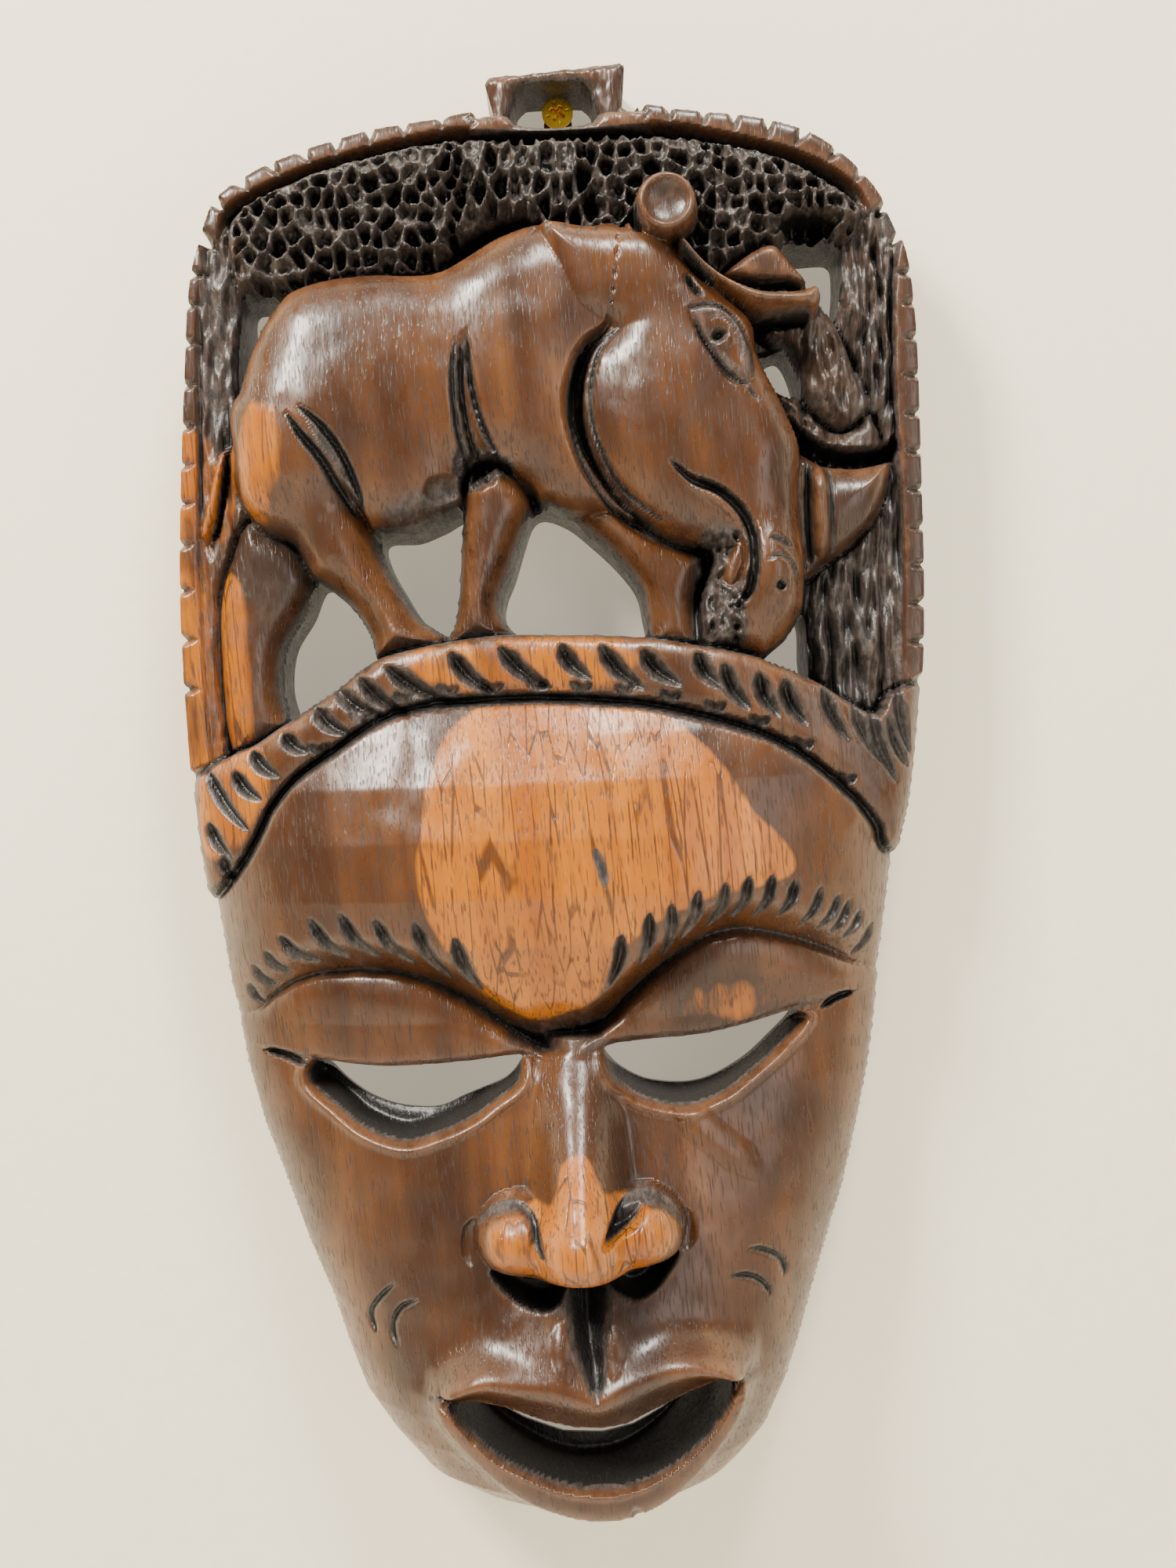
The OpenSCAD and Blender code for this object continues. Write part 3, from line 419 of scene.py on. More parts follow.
    def scoops(self, outline: Plan, pitch: tuple[float, float], depth: float, seed: int, lean: float = 0.0,
               stain: float = 0.85) -> None:
        """Covers an area with gouged scoops whose rims meet in sharp edges.

        Seeds are jittered on a grid. With f1 and f2 the distances to the nearest two, measured in pitches, the
        surface falls by depth * (1 - f1^2) * min(1, (f2 - f1) / 0.25).

        Args:
            outline: the area.
            pitch: spacing of the scoops along x and z.
            depth: depth of a scoop.
            seed: seed of the jitter.
            lean: how much the columns lean, in x for each z.
            stain: how dark the scoops are left.
        """
        path = smooth(outline, closed=True)
        at = self.near(path, 1)
        x, z = self.x[at], self.z[at]
        inside = depth_inside(x, z, path)
        rng = np.random.default_rng(seed)
        u, v = (x - lean * z) / pitch[0], z / pitch[1]
        cu, cv = np.floor(u).astype(int), np.floor(v).astype(int)
        u0, v0 = cu.min() - 2, cv.min() - 2
        jitter = rng.uniform(-0.38, 0.38, (cv.max() - v0 + 4, cu.max() - u0 + 4, 2))
        power = rng.uniform(0.35, 1.0, jitter.shape[:2])
        near, next_near, strength = np.full(x.shape, 9.0), np.full(x.shape, 9.0), np.zeros(x.shape)
        for dj in (-1, 0, 1):
            for di in (-1, 0, 1):
                gi, gj = cu + di, cv + dj
                shift = 0.5 * (gj % 2)
                offset = jitter[gj - v0, gi - u0]
                f = np.hypot(u - (gi + 0.5 + offset[..., 0] + shift - 0.25), v - (gj + 0.5 + offset[..., 1]))
                closer = f < near
                next_near = np.where(closer, near, np.minimum(next_near, f))
                strength = np.where(closer, power[gj - v0, gi - u0], strength)
                near = np.where(closer, f, near)
        rim = ease((next_near - near) / 0.42)
        bowl = np.clip(1 - near**2, 0, 1) * rim * strength
        share = ease(inside / 1.5 + 0.2)
        self.front[at] -= depth * bowl * share
        # Each scoop is stained darker towards its bottom, partly painted shade, and the sharp rims between scoops are
        # lightened as rubbing and painted highlight.
        self.add_paint(Paint.STAIN_AND_SHADE, at, share * stain * (0.55 + 0.6 * bowl))
        self.add_paint(Paint.WEAR_AND_HIGHLIGHT, at, share * 0.5 * (1 - rim) * (strength > 0.6))

    def rough(self, outline: Plan, grain: tuple[float, float], depth: float, seed: int, soft: float = 2.0) -> None:
        """Adds hacked tool marks: noise blurred to the grain's size along x and z, scaled to a depth."""
        path = smooth(outline, closed=True)
        at, inside = self.within(path, soft)
        noise = np.random.default_rng(seed).normal(size=inside.shape)
        fz = np.fft.fftfreq(noise.shape[0])[:, None] * grain[1] / self.step
        fx = np.fft.rfftfreq(noise.shape[1])[None] * grain[0] / self.step
        marks = np.fft.irfft2(np.fft.rfft2(noise) * np.exp(-2 * (fx**2 + fz**2)), noise.shape)
        marks = np.clip(marks / marks.std(), -2, 2) * 0.5
        self.front[at] += depth * marks * ease(inside / soft + 0.3)

    def open_up(self, outline: Plan, curved: bool = True) -> np.ndarray:
        """Cuts an outline right through, and returns its points."""
        path = smooth(outline, closed=True) if curved else np.asarray(outline, float)
        at = self.near(path, 12)
        self.inside[at] = np.minimum(self.inside[at], -depth_inside(self.x[at], self.z[at], path))
        return path


# ---------------------------------------------------------------- the crest


@dataclass
class CrestCarver:
    """Cuts the openwork crest: rim, posts, canopy, horns and buffalo."""

    rim_h: float = 29.0
    floor_h: float = 19.0
    canopy_h: float = 35.0
    back_h: float = 31.0
    head_h: float = 35.0

    def carve(self, relief: Relief) -> None:
        """Cuts the crest from its floor up to the head, which stands out the most."""
        crest = relief.z > -215
        relief.front[crest] = self.floor_h
        relief.paint[Paint.STAIN_AND_SHADE][crest] = 0.85
        self.carve_rim(relief)
        self.carve_canopy(relief)
        self.carve_horns(relief)
        self.carve_far_legs(relief)
        self.carve_body(relief)
        self.carve_head(relief)
        self.carve_ear(relief)
        self.cut_neck_and_flank(relief)

    def carve_rim(self, relief: Relief) -> None:
        """The posts at both sides and the toothed rim that joins them over the top."""
        h = self.rim_h
        relief.mound([
            (-106, -30), (-85, -34), (-84, -50), (-85.5, -70), (-82, -95), (-80, -120), (-82, -182), (-106, -190)],
            h - 5, 3, 4)
        relief.mound([(96, -30), (75, -34), (72, -42), (71, -62), (76, -74), (80, -100), (78, -170), (96, -170)],
            h - 6, 3, 4)
        relief.rough([(-96, -44), (-85, -44), (-84, -70), (-82, -110), (-84, -165), (-95, -165)], (1.5, 7), 1.6, 3)
        relief.rough([(86, -40), (75, -42), (74, -60), (80, -76), (84, -100), (80, -160), (86, -160)], (1.2, 9), 2.2,
            4)
        self.clean(relief, LEFT_POST, 0.5)
        self.clean(relief, RIGHT_POST, 0.72)
        left = [
            (-106, -28), (-94.5, -40), (-96, -60), (-97, -90), (-98, -120), (-97.5, -160), (-96, -186), (-110, -190)]
        right = [(96, -28), (88.5, -44), (86.5, -60), (86, -90), (86.5, -120), (85.5, -160), (98, -170)]
        for strip in (left, right):
            relief.mound(strip, h - 1, 1, 3)
        relief.tint(Paint.SAPWOOD, [(-108, -94), (-94, -88), (-91, -104), (-94, -120), (-95, -170), (-110, -176)],
            0.56, 5)
        relief.tint(Paint.STAIN_AND_SHADE, [(-96, -40), (-84.5, -42), (-84.5, -70), (-87, -92), (-95, -92)], 0.75, 4)
        relief.groove([(-95, -44), (-96.3, -62), (-96.8, -86), (-97.4, -110)], 1.6, 1.4, 0.8, 0.1, 0.1)
        relief.groove([(87.5, -42), (86, -60), (85.6, -90), (86.2, -120), (85.4, -158)], 1.8, 1.6, 0.9, 0.1, 0.1)
        for x in (79.5, 81.5, 83.6):
            relief.groove([(x - 1, -60), (x, -76), (x + 0.5, -92)], 1.3, 1.2, 0.9, 0.2, 0.2)
        band = between([(-112, -20), (-60, 8), (60, 8), (100, -20)], RIM_INNER)
        relief.mound(band, h - 2, 2, 3)
        relief.groove(RIM_INNER, 3.4, 5.0, 0.95, 0.05, 0.05)
        for channel, keep in ((Paint.STAIN_AND_SHADE, 0.2), (Paint.DARK, 0.75)):
            for strip in (band, left, right):
                path = smooth(strip, closed=True)
                at = relief.near(path, 2)
                share = ease(depth_inside(relief.x[at], relief.z[at], path) / 1.5)
                layer = relief.paint[channel]
                layer[at] += share * (keep - layer[at])

    def carve_canopy(self, relief: Relief) -> None:
        """The leafy canopy: a stained bulge all scooped out, with a deep shadow under its middle."""
        whole = [
            (-88, -37), (-84, -28), (-68, -20.5), (-48, -15), (-28, -12), (0, -12), (20, -12), (40, -14.5), (60, -20),
            (76, -30), (79, -36), (74, -42), (57, -43), (48, -50), (36, -53), (20, -44), (-6, -38), (-14, -38),
            (-24, -40), (-30, -47), (-50, -48.5), (-70, -52), (-84, -51)]
        relief.mound(whole, self.canopy_h - 11, 11, 9)
        relief.scoops([
            (-86, -36), (-82, -28), (-66, -21.5), (-46, -16), (-28, -14), (-24, -30), (-30, -46), (-50, -47),
            (-70, -51), (-84, -50)], (4.4, 5.2), 7.5, 11)
        relief.scoops([(-29, -14), (-10, -12), (6, -12), (10, -24), (8, -37), (-8, -37), (-22, -39), (-30, -40)],
            (3.9, 7.5), 7.5, 12, lean=0.06)
        relief.scoops([
            (6, -12), (30, -13), (50, -17.5), (68, -25), (78, -34), (74, -42), (57, -42), (46, -50), (36, -52),
            (18, -42), (8, -37)], (4.2, 5.0), 6.5, 13, lean=-0.2)
        relief.rough(whole, (1.2, 1.6), 1.1, 14)
        # Two deep grooves, under the canopy's middle and at its right, are stained fully black as painted shadow.
        for points in ([(-30, -46.5), (-26, -42.5), (-20, -39), (-12, -36.5), (-7, -35.5)], [
                (57, -38.5), (64, -38), (72, -38.5)]):
            relief.groove(points, 7.5, 13, 1.0, 0.3, 0.3)

    def carve_horns(self, relief: Relief) -> None:
        """The horns at the right, the branch beside them and the bark below."""
        relief.mound(BARK, 22, 5, 4)
        relief.rough(BARK, (1.6, 8), 2.6, 21)
        relief.mound(FAR_HORN, 22, 10, 8)
        relief.mound(VINE, 21, 9, 7)
        for outline in (FAR_HORN, VINE):
            self.clean(relief, outline, 0.68)
        relief.rough(FAR_HORN, (1.3, 5), 1.6, 22)
        relief.rough(VINE, (1.6, 6), 2.0, 23)
        relief.rough([(72, -40), (86, -42), (86, -90), (80, -90), (74, -66)], (1.4, 6), 2.2, 24)
        for points in ([(62, -66.5), (65.5, -74.5), (69.5, -84.5), (75.5, -92.5)], [
                (66.5, -62.5), (71.5, -72.5), (74.5, -84.5)], [(54, -80.5), (60, -86.5), (67.5, -92.5)],
                [(73.5, -50.5), (77.5, -62.5), (81.5, -74.5)]):
            relief.groove(points, 2.2, -1.6, 0)
        ledge = [(41.5, -51), (49.5, -45), (55.5, -43.5), (59.5, -48), (63.5, -54), (51.5, -53.5), (45.5, -52.5)]
        at, depth = relief.mound(ledge, 30, 4, 3)
        share = ease(depth / 1.2)
        relief.paint[Paint.STAIN_AND_SHADE][at] *= 1 - share
        relief.paint[Paint.DARK][at] = np.maximum(relief.paint[Paint.DARK][at], 0.85 * share)
        relief.tint(Paint.WEAR_AND_HIGHLIGHT, [(46.5, -49), (49.5, -47), (50.5, -50), (47.5, -52)], 1.0, 2)
        relief.groove([(42.5, -52.5), (49.5, -54), (57.5, -54.5), (62.5, -55)], 3.0, 5, 1.0, 0.2, 0.2)
        relief.mound(RINGED, 24, 11, 11)
        at, depth = relief.mound(RINGED, 24, 12, 10)
        for channel, value in ((Paint.STAIN_AND_SHADE, 0.1), (Paint.DARK, 0.65)):
            layer = relief.paint[channel]
            layer[at] += ease(depth / 1.5) * (value - layer[at])
        relief.groove([(59, -100), (58, -107), (58, -115), (58.5, -122.5), (59.5, -129.5)], 3.6, -3.0, 0, 0.15, 0.15)
        relief.groove([(62, -100), (61.5, -113), (62, -128.5)], 1.8, 3.0, 1.0, 0.1, 0.1)
        relief.groove([(65, -101), (64.5, -113), (65, -126.5)], 4.2, -2.4, 0, 0.15, 0.15)
        relief.groove([(68, -102), (67.5, -113), (68, -124.5)], 1.4, 1.6, 0.9, 0.1, 0.1)
        relief.groove([(57, -88), (61, -94), (66, -97.5), (74, -99.5), (84, -98), (86, -93)], 5.5, 9, 1.0, 0.2, 0.2)
        # Lighter strips on the two raised rings: painted sheen.
        relief.tint(Paint.WEAR_AND_HIGHLIGHT, [(57.5, -103), (60.5, -103), (60.5, -124.5), (57.5, -124.5)], 0.9, 2)
        relief.tint(Paint.WEAR_AND_HIGHLIGHT, [(63, -105), (66, -105), (66, -122.5), (63, -122.5)], 0.6, 2)

    def carve_far_legs(self, relief: Relief) -> None:
        """The legs on the far side and the tail, lower than the near ones."""
        relief.mound(FAR_HIND, 20, 10, 8)
        self.clean(relief, FAR_HIND, 0.35)
        relief.tint(Paint.DARK, [(-86, -110), (-72, -116), (-68, -128), (-78, -134), (-90, -128)], 1.0, 6)
        relief.tint(Paint.SAPWOOD, [(-95, -128), (-86, -128), (-84, -160), (-86, -172), (-96, -172)], 0.75, 7)
        relief.mound(FAR_FORE, 22, 12, 8)
        self.clean(relief, FAR_FORE, 0.1)
        relief.mound(TAIL, 27, 4, 3)
        self.clean(relief, TAIL, 0.1)
        relief.tint(Paint.SAPWOOD, TAIL, 0.8, 2)
        relief.groove([(-88.5, -91), (-90.5, -100), (-92.5, -110), (-95, -116)], 1.8, 4, 1.0, 0.1, 0.1)

    @staticmethod
    def clean(relief: Relief, outline: Plan, stain: float) -> None:
        """Wipes the stain off a figure down to a share, but for a dark line along its edge."""
        path = smooth(outline, closed=True)
        at, depth = relief.within(path, 1)
        layer = relief.paint[Paint.STAIN_AND_SHADE]
        layer[at] += ease((depth + 0.2) / 1.2) * (stain - layer[at])

    def carve_body(self, relief: Relief) -> None:
        """Barrel, shoulder and haunch, and the near legs under them."""
        relief.mound(BODY, self.back_h, 10, 14)
        self.clean(relief, BODY, 0.0)
        relief.dome((-50, -80), (38, 34), 4.5)
        relief.dome((-12, -72), (26, 42), 5.5, turn=8)
        relief.dome((-72, -96), (26, 34), 4.0, turn=-20)
        body = relief.front.copy()
        relief.mound(NEAR_HIND, 24, 17, 10, blend=1.2)
        upper = ease((relief.z + 114) / 14) * (relief.x < -50)
        relief.front += upper * (np.maximum(relief.front, body) - relief.front)
        self.clean(relief, [(-72, -112), (-64, -104), (-52, -110), (-44, -130), (-34, -142), (-50, -150),
            (-56, -136)], 0.0)
        self.clean(relief, NEAR_HIND, 0.0)
        relief.mound(NEAR_FORE, 26, 13, 8)
        self.clean(relief, NEAR_FORE, 0.0)
        relief.groove([(-37.5, -106.5), (-31.5, -105), (-28, -105.5)], 7, 3, 0.7)
        # Painted shade over the underside of the belly, between the legs.
        relief.tint(Paint.STAIN_AND_SHADE, [
            (-49.5, -111), (-39.5, -105), (-30.5, -103), (-27.5, -109), (-35.5, -113), (-45.5, -115)], 0.8, 6)
        relief.tint(Paint.SAPWOOD, [
            (-84.5, -87.5), (-78.5, -81.5), (-72, -85.5), (-73, -101.5), (-78.5, -113), (-84.5, -107)], 0.62, 9)
        relief.tint(Paint.SAPWOOD, [(-94, -95), (-87, -91), (-89, -113), (-97, -115)], 0.7, 5)

    def carve_head(self, relief: Relief) -> None:
        """Neck, head and muzzle, with the eye, the mouth line and the nostril."""
        neck = [
            (-6, -38), (6, -38), (16, -38.8), (24, -40), (30, -46), (36, -56), (34, -72), (22, -80), (12, -68),
            (0, -60)]
        body = relief.front.copy()
        at, _ = relief.mound(neck, self.head_h - 1, 11, 11, blend=3)
        relief.front[at] = np.maximum(relief.front[at], body[at])
        before = relief.front.copy()
        at, depth = relief.mound(HEAD, self.head_h - 3, 13, 12)
        upper = ease((relief.z[at] + 74) / 14)
        kept = np.maximum(relief.front[at], before[at] * ease(depth / 3 + 1))
        relief.front[at] += upper * (kept - relief.front[at])
        self.clean(relief, HEAD, 0.0)
        relief.dome((27, -88), (20, 30), 3.5, turn=-10)
        relief.dome((52, -130), (12, 18), 4.5)
        relief.dome((44, -100), (14, 22), 2.0)
        lid = [
            (32, -62.5), (37, -61.5), (41.5, -63.5), (45.5, -68.5), (47.5, -73.5), (47.5, -79.5), (45.5, -82.5),
            (40.5, -80.5), (37, -74.5), (34, -69)]
        relief.mound(lid, 43.2, 1.8, 2.5, blend=1.0)
        relief.tint(Paint.STAIN_AND_SHADE, lid, 0.62, 1.5)
        self.clean(relief, [
            (35, -64.5), (39, -64), (42.5, -67.5), (44.5, -73.5), (44.5, -78.5), (40, -74.5), (36.5, -69.5)], 0.12)
        relief.groove([(31, -63), (37, -61.5), (41.5, -63), (45, -67.5), (47, -73.5), (47.5, -80.5)], 1.5, 1.8, 0.9)
        relief.groove([(32.5, -64.5), (35, -71), (39, -77), (43.5, -81.5), (46.5, -82.5)], 1.8, 1.6, 0.9)
        relief.groove([(36.5, -66), (39.5, -64.5), (43, -68), (44.5, -72.5), (45, -78.5)], 1.0, 0.8, 0.7)
        relief.groove([(38.5, -68), (40, -71.5)], 5.2, 3.0, 0.85, 0.5, 0.5)
        relief.dome((40.6, -71.4), (2.2, 2.4), 1.3)
        relief.tint(Paint.WEAR_AND_HIGHLIGHT, [(32.5, -64), (35, -63.5), (35.5, -67), (33.5, -68)], 1.0, 1)
        relief.groove([(45.5, -82.5), (47.5, -85), (49, -87)], 1.2, 1.2, 0.8)
        mouth = [
            (25.5, -101), (30.5, -106), (36.5, -108.5), (40, -111), (44, -115.5), (46, -121.5), (46, -128),
            (45, -134), (42, -138), (39, -138.5)]
        relief.groove(mouth, 3.0, 4.0, 1.0, 0.2, 0.15)
        relief.groove([(27.5, -104.5), (33.5, -109), (39, -113), (43.5, -118.5)], 3.2, -1.0, 0)
        relief.rough([(33.5, -122.5), (43.5, -120.5), (44.5, -134.5), (41.5, -148.5), (33.5, -147.5)], (1.4, 2.4),
            2.6, 31)
        relief.tint(Paint.STAIN_AND_SHADE, [(32, -120.5), (43.5, -119.5), (43.5, -136.5), (43.5, -148.5), (32, -148.5)], 0.85,
            3)
        at, depth = relief.mound([(43, -121.5), (44.5, -127), (41.5, -133), (38.5, -132), (40, -126)], 40, 3, 2)
        relief.paint[Paint.STAIN_AND_SHADE][at] *= 1 - ease(depth + 0.5)
        relief.groove([(52, -132.5), (53, -135.5)], 3.4, 2.6, 0.95, 0.5, 0.5)
        relief.groove([(49, -127.5), (52, -126.5), (55.5, -128), (57.5, -132)], 1.4, 1.2, 0.8)
        relief.groove([(50, -121.5), (53, -122.5), (56, -124.5)], 2.0, 1.6, 0.9)

    def carve_ear(self, relief: Relief) -> None:
        """The round ear, dished inside, and the smooth horn that curves away from under it."""
        at, depth = relief.mound(NEAR_HORN, 38, 9, 5)
        relief.paint[Paint.STAIN_AND_SHADE][at] *= 1 - ease(depth + 0.4)
        relief.add_paint(Paint.DARK, at, 0.6 * ease(depth + 0.4))
        relief.groove([(49, -64), (56.5, -64), (63.5, -64)], 2.5, 5, 0.95, 0.2, 0.1)
        angle = np.linspace(0, 2 * math.pi, 12, endpoint=False)
        disc = [(EAR_CENTRE[0] + EAR_R * math.cos(a), EAR_CENTRE[1] + EAR_R * math.sin(a)) for a in angle]
        at, depth = relief.mound(disc, 41, 6.5, 3.0)
        dish = ease((depth - 1.6) / 1.6)
        hollow = 3.6 * (1 - np.clip(1 - depth / EAR_R, 0, 1) ** 2)
        relief.front[at] -= dish * hollow
        relief.paint[Paint.STAIN_AND_SHADE][at] *= 1 - ease(depth + 0.5)
        relief.add_paint(Paint.STAIN_AND_SHADE, at, 0.45 * dish)
        relief.add_paint(Paint.DARK, at, 0.7 * ease(depth + 0.5))
        relief.groove([(20.5, -42), (18.8, -38), (18.6, -34)], 2.6, 5, 1.0)
        relief.groove([(30.5, -45), (32.5, -49), (35.5, -52.5), (39, -55.5)], 2.4, 3.5, 0.9)
        relief.groove([(31.5, -53), (33, -56.5), (35.5, -59.5)], 2.4, 3.5, 0.9)

    def cut_neck_and_flank(self, relief: Relief) -> None:
        """The gouged folds at the haunch, behind the shoulder and along the neck."""
        for shift, width in ((0, 2.6), (3.2, 2.4)):
            relief.groove([(-71.5, -85.5), (-68, -91), (-63, -97.5), (-58.5, -106),
                (-55.5, -112)] if shift == 0 else [(-68.5, -84), (-62.5, -89.5), (-57.5, -97), (-54.5, -105),
                (-53, -111)], width + 0.6, 3.4, 1.0, 0.3, 0.3, sharp=True)
        relief.groove([(-66, -88.5), (-61.5, -94.5), (-57.5, -101), (-55.5, -108)], 1.6, 1.0, 0.8)
        trough = [(-26, -67), (-26, -78), (-25, -89.5), (-22.5, -100), (-24.5, -106)]
        relief.groove(trough, 7.5, 4.0, 0.3, 0.5, 0.1)
        for points in ([(-28, -68), (-29, -78), (-28.5, -89.5), (-26.5, -99.5), (-28, -106)], [
                (-25, -66), (-24.5, -78), (-22, -89.5), (-17.5, -99.5)], [(-26.5, -69), (-27, -81), (-25.5, -92.5),
                (-22.5, -101)]):
            relief.groove(points, 2.0, 2.6, 1.0, 0.2, 0.2, sharp=True)
        relief.rough([(-29.5, -96.5), (-21.5, -95.5), (-14.5, -99.5), (-19.5, -104.5), (-27.5, -106.5)], (1.0, 1.6),
            1.8, 41)
        relief.tint(Paint.STAIN_AND_SHADE, [(-29.5, -95), (-21.5, -95), (-13.5, -99.5), (-18.5, -103.5), (-29.5, -106.5)], 0.9,
            3)
        neck = [
            (11.5, -65), (6, -69.5), (3, -76), (1.5, -84), (2.5, -91.5), (5, -99.5), (9, -106), (15.5, -114),
            (24.5, -120), (34, -123), (41, -123)]
        relief.groove(neck, 6.5, 4.2, 0.35, 0.3, 0.5)
        for dx, dz in ((0.0, 0.0), (3.0, 0.6), (5.4, 1.4)):
            line = [
                (x + dx, z + dz) for x, z in [(10.5, -66.5), (4.5, -71.5), (1.5, -79), (0.5, -87), (1.5, -94.5),
                (5, -103.5), (10.5, -111), (19.5, -118)]]
            relief.groove(line, 1.6, 1.8, 0.95, 0.2, 0.2, sharp=True)
        for dz in range(5):
            x = 10 - 4.2 * dz
            relief.groove([(x, -38.5), (x - 1.6, -41.5)], 1.4, 1.2, 0.8, 0.1, 0.8, sharp=True)


@dataclass
class BraidCarver:
    """Cuts the braid that arches over the forehead."""

    edge_h: float = 24.0
    crown_h: float = 48.5
    swell: float = 4.5

    def carve(self, relief: Relief, across: np.ndarray) -> None:
        """Sets the braid's round band, edge + (crown - edge)(1 - t^2.4)^0.6 high, and slashes it."""
        path = smooth(between(ARCH_TOP, ARCH_LOW), closed=True, per=4)
        at, depth = relief.within(path, 3)
        arch = self.edge_h + (self.crown_h - self.edge_h) * (1 - across[at] ** 2.4) ** 0.6
        t = np.clip(depth / 6.5, 0, 1)
        shape = arch - self.swell + 1.5 + self.swell * np.sqrt(1 - (1 - t) ** 2)
        share = ease(depth / 1.2 + 0.5)
        relief.front[at] += share * (shape - relief.front[at])
        relief.paint[Paint.STAIN_AND_SHADE][at] *= 1 - share
        relief.add_paint(Paint.STAIN_AND_SHADE, at, 0.25 * share)
        relief.groove(ARCH_LOW, 3.6, 2.6, 0.95, 0.05, 0.05)
        relief.groove(ARCH_TOP, 2.2, 1.5, 0.85, 0.05, 0.05)
        relief.tint(Paint.SAPWOOD, [
            (-44, -147), (-10, -144), (10, -145), (18, -152), (4, -160), (-16, -160), (-34, -158)], 0.62, 8)
        relief.tint(Paint.SAPWOOD, [(-99, -168), (-84, -168), (-78, -178), (-88, -196), (-100, -196)], 0.72, 8)
        middle = [
            (-67, -160.5, -57.5, -168), (-61.5, -156, -48.5, -164), (-55.5, -153.5, -42, -164),
            (-48.5, -151, -30, -161.5), (-32, -148, -20.5, -159), (-19.5, -147, -6, -158.5), (-4, -147, 4, -156.5),
            (6, -147.5, 17.5, -159.5), (16.5, -149, 26.5, -158.5), (30.5, -150, 37, -159.5), (37, -153, 44, -165.5),
            (46, -155.5, 51.5, -167.5), (52.5, -157.5, 58.5, -169.5)]
        sides = [
            (-97.5, -175, -85.5, -192), (-97.5, -189, -90.5, -199), (-93.5, -198, -90.5, -204),
            (-89.5, -176, -81.5, -184), (-75.5, -167, -68.5, -172), (62.5, -160, 69.5, -174),
            (70.5, -164, 78.5, -180), (75.5, -166, 82.5, -185), (80.5, -167, 85.5, -181), (83.5, -160, 86.5, -178),
            (-84.5, -171, -76.5, -178)]
        relief.slashes(middle, 5.4, 4.2, bow=-1.2)
        relief.slashes(sides, 4.8, 3.6, bow=-1.0)
        for k in range(13):
            x = -66 + 11.2 * k
            z = float(table([(a, b) for a, b in ARCH_LOW], np.array(x))) + 3.6
            relief.groove([(x - 3, z + 1.2), (x, z - 0.8), (x + 3, z + 0.6)], 3.0, 1.8, 0.8)


# ---------------------------------------------------------------- the face


